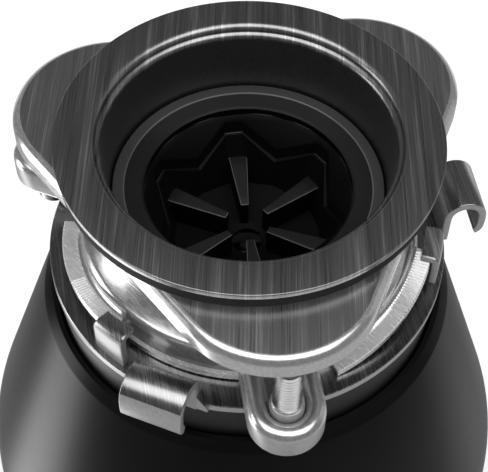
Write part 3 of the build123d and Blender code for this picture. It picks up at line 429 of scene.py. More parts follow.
def makeCastAluminium():
    material = newMaterial("castAluminium", grey(0.5), 0.45, 1.0)
    sand = addNoise(material, (0.9, 0.9, 0.9), 0.0, 6.0)
    flow = addNoise(material, (22.0, 22.0, 22.0), 0.0, 3.0)
    colour = addRamp(material, flow, [(0.3, grey(0.44)), (0.7, grey(0.56))])
    return shade(
        material, colour=colour, roughness=addRange(material, sand, 0.38, 0.55),
        normal=addBump(material, sand, 0.3, 0.12),
    )


def makeSinteredBronze():
    material = newMaterial("sinteredBronze", (0.45, 0.3, 0.15), 0.4, 1.0)
    pores = addNoise(material, (0.4, 0.4, 0.4), 0.0, 4.0)
    colour = addRamp(material, pores, [(0.3, (0.28, 0.18, 0.09)), (0.6, (0.5, 0.34, 0.17))])
    return shade(material, colour=colour, normal=addBump(material, pores, 0.3, 0.08))


def makeCopperWire():
    material = newMaterial("enamelledCopper", (0.45, 0.16, 0.05), 0.3, 0.7)
    strands = addNoise(material, (0.7, 0.7, 7.0), 0.0, 4.0)
    colour = addRamp(material, strands, [(0.3, (0.2, 0.06, 0.02)), (0.7, (0.56, 0.22, 0.08))])
    return shade(material, colour=colour, normal=addBump(material, strands, 0.7, 0.5))


# Black plastics and rubbers differ in their grain, their sheen and their depth of bump.
def makeBlack(name, dark, light, roughness, spread, grainSize, bump):
    material = newMaterial(name, grey(light), roughness)
    fine = addNoise(material, (grainSize, grainSize, grainSize), 0.0, 4.0)
    cloud = addNoise(material, (35.0, 35.0, 35.0), 0.0, 3.0)
    colour = addRamp(material, cloud, [(0.3, grey(dark)), (0.7, grey(light))])
    rough = addRange(material, fine, roughness - spread / 2, roughness + spread / 2)
    return shade(material, colour=colour, roughness=rough, normal=addBump(material, fine, bump, 0.06))


def makeTinted(name, dark, light, roughness, metallic, grainSize):
    material = newMaterial(name, light, roughness, metallic)
    fine = addNoise(material, (grainSize, grainSize, grainSize), 0.0, 4.0)
    colour = addRamp(material, fine, [(0.3, dark), (0.7, light)])
    return shade(
        material, colour=colour, roughness=addRange(material, fine, roughness - 0.05, roughness + 0.08),
        normal=addBump(material, fine, 0.15, 0.06),
    )


viewTurn = 80.0  # the brushing runs along this direction, seen from above
finishes = {
    "brushed": makeBrushedSteel("brushedSteel", viewTurn, 0.26, 0.66, 0.3),
    # lighter copy of the brushed steel for the backup flange's top, painted light
    "brushedLitCopy": makeBrushedSteel("brushedLitCopy", viewTurn, 0.42, 0.95, 0.3),
    "ring": makeBrushedSteel("ringSteel", viewTurn + 12.0, 0.34, 0.62, 0.26),
    # near-white copy of the steel for the ramps' tops, a painted highlight
    "ramp": makePolishedSteel("rampHighlightSteel", 0.9, 0.22, 0.4),
    # darker copy of the ring steel for the ring's flat top, painted shade
    "ringTopShade": makeBrushedSteel("ringTopShade", viewTurn + 12.0, 0.18, 0.4, 0.26),
    # flat grey copy of the steel for upright faces, a painted reflection of the floor
    "ringSideReflection": makePolishedSteel("ringSideReflection", 0.35, 0.3, 0.35),
    # darker copy of the polished steel for the sink flange's throat, painted shade
    "throat": makePolishedSteel("throatShadeSteel", 0.26, 0.34, 1.0),
    "polished": makePolishedSteel("polishedSteel", 0.76, 0.19, 0.85),
    "edge": makePolishedSteel("polishedEdge", 0.66, 0.16, 0.8),
    "zinc": makeZincPlate(),
    "stainless": makeStampedStainless(),
    "shaft": makeGroundSteel(),
    "core": makeLaminations(),
    "aluminium": makeCastAluminium(),
    "bronze": makeSinteredBronze(),
    "copper": makeCopperWire(),
    "shell": makeBlack("satinShell", 0.002, 0.004, 0.3, 0.05, 0.6, 0.05),
    "plastic": makeBlack("blackPlastic", 0.004, 0.007, 0.42, 0.1, 0.9, 0.12),
    "rubber": makeBlack("blackRubber", 0.005, 0.009, 0.45, 0.1, 0.7, 0.12),
    # lighter copy of the rubber for the baffle's outer face band, painted light
    "rubberFaceLit": makeBlack("rubberFaceLit", 0.03, 0.04, 0.45, 0.1, 0.7, 0.12),
    # near-black copy of the rubber for the baffle's depths, painted shade
    "shadedRubber": makeBlack("shadedRubber", 0.001, 0.002, 0.6, 0.1, 0.7, 0.1),
    # lighter copy of the rubber for fin edges and the face's ridge, painted highlight
    "rubberEdgeHighlight": makeBlack("rubberEdgeHighlight", 0.06, 0.1, 0.4, 0.1, 0.7, 0.1),
    "fiber": makeBlack("pressedFibre", 0.004, 0.01, 0.8, 0.1, 0.4, 0.4),
    "foam": makeTinted("soundFoam", grey(0.02), grey(0.06), 0.95, 0.0, 1.6),
    "brown": makeTinted("phenolic", (0.03, 0.016, 0.01), (0.07, 0.04, 0.025), 0.4, 0.0, 1.2),
    "red": makeTinted("redPlastic", (0.34, 0.012, 0.012), (0.46, 0.02, 0.02), 0.3, 0.0, 2.0),
    "green": makeTinted("greenScrew", (0.03, 0.2, 0.07), (0.05, 0.3, 0.1), 0.32, 0.8, 0.8),
}
for name, sheen in {"shadedRubber": 0.12, "shell": 0.21, "rubber": 0.4}.items():
    finishes[name].node_tree.nodes["Principled BSDF"].inputs["Specular IOR Level"].default_value = sheen
print("finishes:", len(finishes))

# Every CAD node gets the finish of its material slot.
slotFinish = {
    "brushed_stainless": "brushed", "polished_steel": "polished", "zinc_steel": "zinc",
    "stainless": "stainless", "shaft_steel": "shaft", "core_steel": "core",
    "cast_aluminium": "aluminium", "bronze": "bronze", "copper_wire": "copper",
    "black_shell": "shell", "black_plastic": "plastic", "black_rubber": "rubber",
    "fiber": "fiber", "foam": "foam", "brown_plastic": "brown",
    "red_plastic": "red", "green_screw": "green",
}
for part in frame["record"]["subparts"]:
    node = frame["nodes"][part["node"]]
    node.data.materials.clear()
    node.data.materials.append(finishes[slotFinish[part["material_slot"]]])


# Sink flange: a flat rim, a lip that rolls down over a bead, a conical throat and a tube.
sinkFlange = {
    "rimThickness": 2.0,
    "edgeRound": 0.35,
    "footBreak": 0.2,
    "flatTo": 47.2,  # the flat rim ends and the lip rolls over
    "lipRound": 2.2,
    "lipFoot": (44.86, 2.34),
    "beadRound": 2.05,
    "beadCentre": (45.4, 4.1),
    "rimRoot": 45.9,
    "coneTop": (44.6, 4.2),
    "throatRadius": 42.2,
    "throatStart": 22.4,
    "throatEase": (0.06, 0.4, 0.6),  # out, up and down where the cone meets the tube
    "tubeRadius": 43.8,
    "tubeFoot": 53.0,
}


def makeSinkFlange(size):
    rim, edge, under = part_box("sink_flange")[1].x / mm, size["edgeRound"], size["rimThickness"]
    tube, throat = size["tubeRadius"], size["throatRadius"]
    start, foot = size["throatStart"], size["tubeFoot"]
    easeOut, easeUp, easeDown = size["throatEase"]
    beadRadius, beadDrop = size["beadCentre"]
    outline = [(size["flatTo"], 0.0)]
    outline += arcPoints(rim - edge, edge, edge, 90, 0, 5)
    outline += [(rim - size["footBreak"], under), (size["rimRoot"], under), size["coneTop"]]
    outline += [(tube, start), (tube, foot), (throat, foot)]
    outline += [(throat, start + easeDown), (throat + easeOut, start - easeUp)]
    outline += arcPoints(beadRadius, beadDrop, size["beadRound"], 180, 108, 6)
    outline += [size["lipFoot"]]
    outline += arcPoints(size["flatTo"], size["lipRound"], size["lipRound"], 178, 96, 9)
    piece = spinOutline("sinkFlange", outline, 180)
    piece = finishPiece(piece, "sink_mount", ["sink_flange"], finishes["brushed"], 40.0)
    throatTop, throatSide = level(beadDrop), (beadRadius - 0.5) * mm

    def inThroatShade(middle, normal):
        return middle.z < throatTop and middle.xy.length < throatSide

    # The throat's inner faces are painted in darker steel: painted shade in the recess.
    paintFaces(piece, finishes["throat"], inThroatShade)
    return piece


makeSinkFlange(sinkFlange)
print("sink flange")


# Backup flange: a thick plate with three round lobes, brushed on top and polished at its edge.
backupFlange = {
    "lobeOffset": 44.5,
    "lobeRadius": 30.0,
    "topDrop": 6.0,
    "thickness": 7.0,
    "topRound": 3.1,
    "hole": 45.3,
    "reliefInset": 7.0,
    "reliefDepth": 3.5,
    "brushedFrom": 0.985,  # faces that lean further than this are polished
}


def makeBackupFlange(size):
    top, foot = level(size["topDrop"]), level(size["topDrop"] + size["thickness"])
    lobes = []
    for angle in lobeAngles:
        deselectAll()
        bpy.ops.mesh.primitive_cylinder_add(
            vertices=144,
            radius=size["lobeRadius"] * mm,
            depth=top - foot,
            location=onCircle(size["lobeOffset"], angle, (top + foot) / 2),
        )
        lobes.append(bpy.context.object)
    piece = joinPieces("backupFlange", lobes)
    editPiece(piece)
    bpy.ops.mesh.convex_hull()
    selectAll()
    bpy.ops.mesh.dissolve_limited(angle_limit=radians(0.4))
    leaveEdit()
    applyPlace()
    editPiece(piece)
    pickFaces(piece, lambda middle, normal: normal.z < -0.9)
    bpy.ops.mesh.inset(thickness=size["reliefInset"] * mm)
    pullBy(z=size["reliefDepth"] * mm)
    pickEdges(piece, lambda start, end: min(start.z, end.z) > top - touch)
    bpy.ops.mesh.bevel(offset=size["topRound"] * mm, segments=9, affect="EDGES")
    leaveEdit()
    deselectAll()
    bpy.ops.mesh.primitive_cylinder_add(
        vertices=144, radius=size["hole"] * mm, depth=50.0 * mm, location=(0, 0, top)
    )
    cutWith(piece, bpy.context.object)
    # The brushed top takes a lighter copy of the brushed steel: painted light where the sink flange shades
    # it.
    brushed, polished = finishes["brushedLitCopy"], finishes["edge"]
    piece = finishPiece(piece, "clamp", ["backup_flange"], brushed, 30.0)
    paintFaces(piece, polished, lambda middle, normal: abs(normal.z) < size["brushedFrom"])
    return piece


makeBackupFlange(backupFlange)
print("backup flange")


# Mounting bolts: slotted heads below, and a thread made by one ridge that climbs turn by turn.
mountBolt = {
    "circle": 70.0,
    "rootRadius": 3.35,
    "crestRadius": 4.0,
    "pitch": 25.4 / 18,
    "ridgeRoot": 0.3,  # how deep the ridge sits in the rod
    "ridgeHeights": (0.42, 0.54, 0.96),  # where its crest starts and ends and its far foot, in pitches
    "threadStart": 0.5,
    "plainLength": 4.0,
    "tipDrop": 13.3,
    "tipBevel": 0.9,
    "headDrop": 52.0,
    "headHeight": 5.0,
    "headRadius": 5.4,
    "headBreak": 0.3,
    "headRound": 1.0,
    "slotWidth": 1.6,
    "slotDepth": 2.0,
}


def makeMountBolt(size, index):
    root, crest, pitch = size["rootRadius"], size["crestRadius"], size["pitch"]
    tip, tipBevel, head = size["tipDrop"], size["tipBevel"], size["headDrop"]
    foot, headRound = head + size["headHeight"], size["headRound"]
    number = str(index + 1)
    outline = [(0.0, tip), (root - tipBevel, tip), (root, tip + tipBevel)]
    outline += [(root, head), (size["headRadius"] - size["headBreak"], head)]
    outline += arcPoints(size["headRadius"] - headRound, foot - headRound, headRound, 0, -90, 4)
    outline += [(0.0, foot)]
    bolt = spinOutline("mountBolt" + number, outline, 32, closed=False)
    deselectAll()
    bpy.ops.mesh.primitive_cube_add(size=1.0, location=(0, 0, level(foot - size["slotDepth"] / 2)))
    cutter = bpy.context.object
    cutter.scale = (20.0 * mm, size["slotWidth"] * mm, size["slotDepth"] * mm * 1.01)
    cutWith(bolt, cutter)
    inside = (root - size["ridgeRoot"]) * mm
    crestFrom, crestTo, ridgeFoot = (share * pitch * mm for share in size["ridgeHeights"])
    outline = [(inside, 0.0), (crest * mm, crestFrom), (crest * mm, crestTo), (inside, ridgeFoot)]
    ridge = drawOutline("ridge", [(radius, 0.0, height) for radius, height in outline])
    leaveEdit()
    turns = int((head - tip - size["plainLength"]) / pitch)
    applyModifier(
        ridge, "SCREW", axis="Z", angle=2 * pi, screw_offset=pitch * mm,
        iterations=turns, steps=28, render_steps=28,
    )
    ridge.location.z = level(head - size["threadStart"])
    useOnly(ridge)
    bpy.ops.object.transform_apply(location=True)
    editPiece(ridge)
    closeUp(ridge)
    piece = joinPieces(bolt.name, [bolt, ridge])
    piece.location = onCircle(size["circle"], lobeAngles[index], 0.0)
    return finishPiece(
        piece, "bolt_" + number, ["mount_bolt_" + number], finishes["zinc"], 38.0
    )


for boltIndex in range(len(lobeAngles)):
    makeMountBolt(mountBolt, boltIndex)
print("mounting bolts")


# Mounting ring: hub, cone and skirt, with three dished ears and three ramps.
mountingRing = {
    "hub": (44.3, 46.3),
    "hubTop": 30.0,
    "hubFoot": 49.7,
    "hubBreak": 0.4,
    "hubFillet": 2.6,
    "hubFilletDrop": 31.4,
    "waistRadius": 52.4,
    "waistRound": 3.4,
    "waistDrop": 40.0,
    "flare": [(0.2, 43.2), (1.0, 44.6)],  # out from the waist, and its drop
    "sheet": 1.0,
    "insideFlare": (-0.7, 44.4),
    "insideCone": 36.9,
    "skirtRadius": 54.3,
    "skirtBore": 53.4,
    "skirtTop": 45.4,
    "skirtFoot": 48.0,
    "skirtBreak": 0.3,
    "rampRadius": 58.9,
    "rampThickness": 2.2,
    "rampRoot": 0.6,  # how deep the ramps sit in the waist
    "rampEdge": 0.35,
    "rampFillet": 2.4,
    "rampLowDrop": 46.0,
    "rampRise": 7.5,
    "rampStart": -72.0,
    "rampSpan": 50.0,
    "rampSteps": 144,
    "ridgeCount": 22,  # the last part of each ramp is ridged
    "ridgeHeight": 0.32,
    "ridgeInset": 1.6,
    "boltCircle": 70.0,
    "earHalfWidth": 11.25,
    "earCrest": 35.0,
    "earCrestRound": 3.0,
    "earFoot": 46.0,
    "earFootRound": 1.4,
    "dishDrop": 42.4,
    "dishRound": 2.1,
    "dishInset": 7.6,
    "bossTop": 32.6,
    "bossNeck": [(4.9, 0.9), (4.5, 0.1), (4.1, 0.0)],
    "bossFillet": 2.6,
    "bossFilletRadius": 7.9,
    "bossSpread": (7.2, 7.4),
    "bossRoot": 1.0,
    "bossWell": (4.08, 2.0),
}


def makeRamp(size):
    root, outer, fillet = size["waistRadius"], size["rampRadius"], size["rampFillet"]
    inside, edge, under = root - size["rampRoot"], size["rampEdge"], -size["rampThickness"]
    sweep = arcPoints(root + fillet, -fillet, fillet, 180, 270, 8)[1:]
    outline = [(inside, fillet), (root, fillet)]
    outline += [(radius, -drop) for radius, drop in sweep]
    outline += [(outer - edge, 0.0), (outer, -edge), (outer, under), (inside, under)]
    steps = size["rampSteps"]
    piece = climbOutline("ramp", outline, 0.0, size["rampSpan"], size["rampRise"], steps)
    # Each ridge is three strips long: two climb and the third falls back.
    strip = size["rampSpan"] / steps
    firstRidge = steps - 3 * (size["ridgeCount"] + 1)
    slope = size["rampRise"] * mm / radians(size["rampSpan"])

    def ridgeVert(place, share):
        turn = atan2(place.y, place.x)
        onTop = place.z > slope * turn - 0.1 * mm and place.xy.length > (root + size["ridgeInset"]) * mm
        count = round(turn * 180 / pi / strip) - firstRidge
        return onTop and 0 < count < 3 * size["ridgeCount"] and count % 3 == share

    editPiece(piece)
    for share in (1, 2):
        pickVerts(piece, lambda place: ridgeVert(place, share))
        bpy.ops.transform.translate(value=(0, 0, size["ridgeHeight"] * mm * share / 2))
    leaveEdit()
    piece.location.z = level(size["rampLowDrop"])
    useOnly(piece)
    bpy.ops.object.transform_apply(location=True)
    return turnedCopies(piece, 3, size["rampStart"])


# One ear, pointing along +X: half a dish round the bolt, drawn out straight towards the hub.
def makeEar(size):
    half, foot, floor = size["earHalfWidth"], size["earFoot"], size["dishDrop"]
    footRound, crestRound, dishRound = size["earFootRound"], size["earCrestRound"], size["dishRound"]
    outline = [(0.0, foot), (half - footRound, foot)]
    outline += arcPoints(half - footRound, foot - footRound, footRound, -90, 0, 4)[1:]
    outline += arcPoints(half - crestRound, size["earCrest"] + crestRound, crestRound, 0, 165, 12)
    outline += arcPoints(half - size["dishInset"], floor - dishRound, dishRound, -10, -90, 6)
    outline += [(0.0, floor)]
    centre = size["boltCircle"] * mm
    points = [(centre, -distance * mm, level(drop)) for distance, drop in outline]
    ear = drawOutline("ear", points, closed=False)
    bpy.ops.mesh.spin(steps=40, angle=-pi, center=(centre, 0, 0), axis=(0, 0, 1))
    selectAll()
    bpy.ops.mesh.remove_doubles(threshold=mergeGap)
    pickVerts(ear, lambda co: abs(co.x - centre) < 2 * touch)
    bpy.ops.mesh.select_mode(type="EDGE")
    pullBy(x=(size["skirtBore"] + 0.4) * mm - centre)
    bpy.ops.mesh.select_mode(type="VERT")
    closeUp(ear)
    top, fillet = size["bossTop"], size["bossFillet"]
    spreadTop, spreadFoot = size["bossSpread"]
    wellRadius, wellDepth = size["bossWell"]
    root = floor + size["bossRoot"]
    outline = [(0.0, root), (spreadFoot, root), (spreadTop, floor - 0.02)]
    outline += arcPoints(size["bossFilletRadius"], floor - fillet, fillet, 250, 190, 5)
    outline += [(radius, top + drop) for radius, drop in size["bossNeck"]]
    outline += [(wellRadius, top + wellDepth), (0.0, top + wellDepth)]
    boss = spinOutline("boss", outline, 48, closed=False)
    boss.location.x = centre
    return turnedCopies(joinPieces("ear", [ear, boss]), 3, lobeAngles[0])


def makeMountingRing(size):
    hubIn, hubOut = size["hub"]
    hubTop, hubFoot, hubBreak, fillet = size["hubTop"], size["hubFoot"], size["hubBreak"], size["hubFillet"]
    skirt, bore, waist = size["skirtRadius"], size["skirtBore"], size["waistRadius"]
    skirtFoot, skirtBreak, waistRound = size["skirtFoot"], size["skirtBreak"], size["waistRound"]
    insideRun, insideDrop = size["insideFlare"]
    outline = [(hubIn, hubFoot), (hubIn, hubTop + hubBreak), (hubIn + hubBreak, hubTop)]
    outline += [(hubOut - hubBreak, hubTop), (hubOut, hubTop + hubBreak)]
    outline += arcPoints(hubOut + fillet, size["hubFilletDrop"], fillet, 180, 230, 5)
    outline += arcPoints(waist - waistRound, size["waistDrop"], waistRound, 66, 0, 8)
    outline += [(waist + run, drop) for run, drop in size["flare"]]
    outline += [(skirt, size["skirtTop"]), (skirt, skirtFoot - skirtBreak), (skirt - skirtBreak, skirtFoot)]
    outline += [(bore, skirtFoot), (bore, size["skirtTop"] + 0.2), (waist + insideRun, insideDrop)]
    outline += arcPoints(
        waist - waistRound, size["waistDrop"] + size["sheet"], waistRound - size["sheet"], 0, 60, 5
    )
    outline += [(hubOut, size["insideCone"]), (hubOut, hubFoot)]
    parts = [spinOutline("mountingRing", outline, 180)]
    parts += makeEar(size)
    parts += makeRamp(size)
    piece = joinPieces("mountingRing", parts)
    piece = finishPiece(piece, "sink_mount", ["mounting_ring"], finishes["polished"], 38.0)
    rampIn, rampOut = (skirt - 0.6) * mm, size["rampRadius"] * mm
    beyondRamps, rampTop = rampOut + 1.0 * mm, level(size["earCrest"] + 1.0)

    def onRampHighlight(middle, normal):
        return rampIn < middle.xy.length < rampOut and normal.z > 0.6 and middle.z < rampTop

    def onEarSideReflection(middle, normal):
        return middle.xy.length > beyondRamps and abs(normal.z) < 0.12

    # The ramps' up-facing faces are painted near white: painted highlight.
    paintFaces(piece, finishes["ramp"], onRampHighlight)
    # The ears' upright faces are painted flat grey: painted reflection.
    paintFaces(piece, finishes["ringSideReflection"], onEarSideReflection)
    return piece


makeMountingRing(mountingRing)
print("mounting ring")


# Lower mounting ring: a flat ring with three hooks over the ramps and three curled wrench tabs.
lowerRing = {
    "bore": 51.0,
    "radius": 63.3,
    "topDrop": 48.5,
    "footDrop": 51.5,
    "edgeBreak": 0.25,
    "boreBreak": 0.2,
    "hookAngle": -21.0,
    "hookSpan": 11.0,
    "hookInner": 55.7,
    "hookOuter": 61.7,
    "hookWall": 2.3,
    "hookGap": 0.4,
    "hookRound": 2.9,
    "hookBreak": 0.3,
    "tabAngle": -0.5,
    "tabWidth": 19.0,
    "tabSheet": 2.5,
    "tabInner": 61.6,
    "tabCrest": 33.0,
    "tabCurl": 5.6,
    "tabLip": 45.0,
    "tabLipRound": 2.5,
    "tabLipPoints": [(0.15, 2.0), (0.1, -1.0)],  # out from the curl, and down from its centre or the lip
    "gussetSheet": 2.2,
    "gussetWidth": 3.4,
    "gussetHeight": 6.0,
    "gussetRoot": 1.0,
}


def makeHooks(size, ramp):
    spanBefore = size["hookAngle"] - size["hookSpan"] / 2 - ramp["rampStart"]
    lowDrop = ramp["rampLowDrop"] - ramp["rampRise"] * spanBefore / ramp["rampSpan"] - size["hookGap"]
    inner, outer, wall = size["hookInner"], size["hookOuter"], size["hookWall"]
    top, foot, hookRound = lowDrop - wall, size["footDrop"] - size["boreBreak"], size["hookRound"]
    outline = [(inner, top + size["hookBreak"]), (inner + size["hookBreak"], top)]
    outline += arcPoints(outer - hookRound, top + hookRound, hookRound, 90, 0, 8)
    outline += [(outer, foot), (outer - wall, foot)]
    outline += arcPoints(outer - hookRound, top + hookRound, hookRound - wall, 0, 90, 4)
    outline += [(inner, lowDrop)]
    outline = [(radius, level(drop) / mm) for radius, drop in outline]
    rise = ramp["rampRise"] * size["hookSpan"] / ramp["rampSpan"]
    hook = climbOutline("hook", outline, size["hookAngle"] - size["hookSpan"] / 2, size["hookSpan"], rise, 14)
    bevelEdges(hook, 0.3, 2, 50)
    return turnedCopies(hook, 3)


def makeTabs(size):
    sheet, curl, lip, lipRound = size["tabSheet"], size["tabCurl"], size["tabLip"], size["tabLipRound"]
    stem = size["tabInner"] + sheet / 2
    crest = size["tabCrest"] + sheet / 2 + curl
    tip = stem + 2 * curl
    (highOut, highDrop), (lowOut, lowDrop) = size["tabLipPoints"]
    line = [(stem, size["footDrop"] - sheet / 2)]
    line += arcPoints(stem + curl, crest, curl, 180, 0, 18)
    line += [(tip + highOut, crest + highDrop), (tip + lowOut, lip + lowDrop)]
    line += arcPoints(tip - lipRound, lip - 0.2, lipRound, 0, -70, 6)
    half = size["tabWidth"] / 2 * mm
    tab = drawOutline("tab", [(radius * mm, -half, level(drop)) for radius, drop in line], closed=False)
    pullBy(y=2 * half)
    selectAll()
    bpy.ops.mesh.normals_make_consistent(inside=False)
    leaveEdit()
    applyModifier(tab, "SOLIDIFY", thickness=sheet * mm, offset=0.0)
    bevelEdges(tab, 0.35, 3, 50)
    # A small gusset beside the tab's stem.
    side, near, far = (stem - size["gussetSheet"] / 2) * mm, half - 0.5 * mm, half + size["gussetWidth"] * mm
    ringTop, root = size["topDrop"], size["topDrop"] + size["gussetRoot"]
    gusset = drawOutline("gusset", [
        (side, near, level(root)),
        (side, far, level(root)),
        (side, far - 0.2 * mm, level(ringTop - 0.6)),
        (side, near, level(ringTop - size["gussetHeight"])),
    ])
    bpy.ops.mesh.edge_face_add()
    pullBy(x=size["gussetSheet"] * mm)
    closeUp(gusset)
    return turnedCopies(joinPieces("tab", [tab, gusset]), 3, size["tabAngle"])


def makeLowerRing(size, ramp):
    top, foot, bore, outer = size["topDrop"], size["footDrop"], size["bore"], size["radius"]
    edgeBreak, boreBreak = size["edgeBreak"], size["boreBreak"]
    outline = [(bore, top + boreBreak), (bore + boreBreak, top), (outer - edgeBreak, top)]
    outline += [(outer, top + edgeBreak), (outer, foot - edgeBreak), (outer - edgeBreak, foot), (bore, foot)]
    ring = spinOutline("lowerRing", outline, 180)
    piece = joinPieces("lowerRing", [ring] + makeHooks(size, ramp) + makeTabs(size))
    piece = finishPiece(piece, "lock_ring", ["lower_mounting_ring"], finishes["ring"], 34.0)
    flatTop = level(top)

    def onShadedTop(middle, normal):
        return normal.z > 0.95 and abs(middle.z - flatTop) < 0.2 * mm

    # The upright faces of the ring, hooks and tabs are painted flat grey: painted reflection.
    paintFaces(piece, finishes["ringSideReflection"], lambda middle, normal: abs(normal.z) < 0.5)
    # The ring's flat top is painted darker: painted shade.
    paintFaces(piece, finishes["ringTopShade"], onShadedTop)
    return piece


makeLowerRing(lowerRing, mountingRing)
print("lower mounting ring")


# Splash baffle: face, pleated wall, funnel and fins.
splashBaffle = {
    "faceDrop": 22.3,
    "faceRadius": 41.8,
    "ridgeRadius": 38.0,
    "mouthRadius": 32.0,
    "mouthDrop": 23.0,
    "foot": 53.0,
    "wall": 2.0,
    "edgeBevel": (0.5, 0.7),
    "ridgeStep": (0.2, 0.3),
    "mouthLip": [(0.6, -0.1), (0.0, 0.5)],  # out from the mouth, and down from its drop
    "mouthSkirt": 3.4,
    "pleats": 6,
    "pleatTurn": 30.0,
    "tipRadius": 31.2,
    "valleyRadius": 26.5,
    "tipDrop": 28.0,
    "valleyDrop": 34.5,
    "pleatHeight": 4.5,
    "tipHalfAngle": 5.4,
    "footRadius": 24.5,
    "footDrop": 52.0,
    "centreRadius": 5.0,
    "finTurn": 28.0,
    "finDrop": 40.5,
    "finDepth": 14.0,
    "finFall": 1.2,
    "finInner": (7.0, 2.5),
    "finOuter": (27.0, 6.2),
}


# A star-shaped loop: flat tips, straight sides down to the valleys.
def starPoints(size, shrink, drop, depth):
    points = []
    pleat = 360 / size["pleats"]
    for index in range(size["pleats"]):
        middle = size["pleatTurn"] + index * pleat
        tip, valley = size["tipRadius"] - shrink, size["valleyRadius"] - shrink
        for angle in (middle - size["tipHalfAngle"], middle + size["tipHalfAngle"]):
            points.append(onCircle(tip, angle, level(drop)))
        points.append(onCircle(valley, middle + pleat / 2, level(drop + depth)))
    return points


def circlePoints(size, radius, drop):
    points = []
    pleat = 360 / size["pleats"]
    for index in range(size["pleats"]):
        middle = size["pleatTurn"] + index * pleat
        for angle in (middle - size["tipHalfAngle"], middle + size["tipHalfAngle"], middle + pleat / 2):
            points.append(onCircle(radius, angle, level(drop)))
    return points


# How far round the axis a point lies, counted from a direction that no vertex has.
def turnOf(place):
    return (atan2(place.y, place.x) - radians(10.0)) % (2 * pi)


# Adds a loop of new vertices by extruding the open end of a tube and moving each vertex to its place.
def addLoop(piece, points):
    pullBy(z=-0.1 * mm)
    mesh = bmesh.from_edit_mesh(piece.data)
    chosen = [vert for vert in mesh.verts if vert.select]
    for vert, point in zip(sorted(chosen, key=lambda vert: turnOf(vert.co)), sorted(points, key=turnOf)):
        vert.co = point
    bmesh.update_edit_mesh(piece.data)


def makePleats(size):
    depth = size["valleyDrop"] - size["tipDrop"]
    loops = [
        circlePoints(size, size["mouthRadius"] + 1.2, size["mouthDrop"] + 3.0),
        circlePoints(size, size["mouthRadius"] - 0.2, size["tipDrop"] - 0.8),
        starPoints(size, 0.0, size["tipDrop"], depth),
        starPoints(size, 0.5, size["tipDrop"] + size["pleatHeight"], depth),
        starPoints(size, 1.6, size["tipDrop"] + size["pleatHeight"] + 0.3, depth),
        circlePoints(size, size["footRadius"], size["footDrop"] - 1.0),
        circlePoints(size, size["centreRadius"], size["footDrop"]),
    ]
    piece = drawOutline("pleats", loops[0])
    for points in loops[1:]:
        addLoop(piece, points)
    selectAll()
    bpy.ops.mesh.normals_make_consistent(inside=False)
    leaveEdit()
    applyModifier(piece, "SOLIDIFY", thickness=1.4 * mm, offset=0.0)
    bevelEdges(piece, 0.3, 2, 24)
    return piece


def makeFins(size):
    innerRadius, innerWidth = size["finInner"]
    outerRadius, outerWidth = size["finOuter"]
    deselectAll()
    length = (outerRadius - innerRadius) * mm
    depth = size["finDepth"] * mm
    bpy.ops.mesh.primitive_cube_add(size=1.0, location=(
        (innerRadius + outerRadius) / 2 * mm, 0, level(size["finDrop"]) - depth / 2,
    ))
    fin = bpy.context.object
    fin.scale = (length, outerWidth * mm, depth)
    applyPlace()
    editPiece(fin)
    bpy.ops.mesh.subdivide(number_cuts=3)
    pickVerts(fin, lambda co: True)
    mesh = bmesh.from_edit_mesh(fin.data)
    for vert in mesh.verts:
        share = (vert.co.x / mm - innerRadius) / (outerRadius - innerRadius)
        vert.co.y *= innerWidth / outerWidth + (1 - innerWidth / outerWidth) * share
        vert.co.z -= (1 - share) * size["finFall"] * mm
    bmesh.update_edit_mesh(fin.data)
    leaveEdit()
    bevelEdges(fin, 0.22, 2, 50)
    return turnedCopies(fin, size["pleats"], size["finTurn"])


def makeSplashBaffle(size):
    face, outer, wall = size["faceDrop"], size["faceRadius"], size["wall"]
    mouth, mouthDrop = size["mouthRadius"], size["mouthDrop"]
    bevelRun, bevelDrop = size["edgeBevel"]
    stepRun, stepDrop = size["ridgeStep"]
    skirtFoot, insideFace = mouthDrop + size["mouthSkirt"], face + wall + 0.4
    outline = [(outer, size["foot"]), (outer, face + bevelDrop), (outer - bevelRun, face)]
    outline += [(size["ridgeRadius"] + stepRun, face), (size["ridgeRadius"] - stepRun, face + stepDrop)]
    outline += [(mouth + run, mouthDrop + drop) for run, drop in size["mouthLip"]]
    outline += [(mouth, skirtFoot), (mouth + wall, skirtFoot), (mouth + wall + 0.3, mouthDrop + 1.6)]
    outline += [(outer - wall, insideFace), (outer - wall, size["foot"])]
    sleeve = spinOutline("splashBaffle", outline, 144)
    piece = joinPieces("splashBaffle", [sleeve, makePleats(size)] + makeFins(size))
    piece = finishPiece(piece, "baffle", ["splash_baffle"], finishes["rubber"], 24.0)
    deep, ridge = level(mouthDrop + 1.0), size["ridgeRadius"] * mm
    finTop, finFoot = level(size["finDrop"] - 1.0), level(size["finDrop"] + 3.0)
    tips = (size["tipRadius"] - 1.6) * mm

    def inShade(middle, normal):
        onTip = middle.xy.length > tips and normal.z > 0.8
        return middle.z < deep and not onTip and (normal.z < 0.5 or not finFoot < middle.z < finTop)

    def onFinEdgeHighlight(middle, normal):
        return level(size["finDrop"] + 1.6) < middle.z < finTop and 0.3 < normal.z < 0.95 and normal.y < 0.2

    def onLitFace(middle, normal):
        return middle.xy.length > ridge and normal.z > 0.9

    def onRidgeHighlight(middle, normal):
        return abs(middle.xy.length - ridge) < 0.19 * mm

    # Faces below the mouth, apart from pleat tips and fin tops, are painted near black: painted shade.
    paintFaces(piece, finishes["shadedRubber"], inShade)
    # The fin edges are painted lighter: painted highlight.
    paintFaces(piece, finishes["rubberEdgeHighlight"], onFinEdgeHighlight)
    # The face outside the ridge is painted lighter: painted light against the throat's shadow.
    paintFaces(piece, finishes["rubberFaceLit"], onLitFace)
    # A lighter ring on the face's ridge step: painted highlight.
    paintFaces(piece, finishes["rubberEdgeHighlight"], onRidgeHighlight)
    return piece


makeSplashBaffle(splashBaffle)
print("splash baffle")


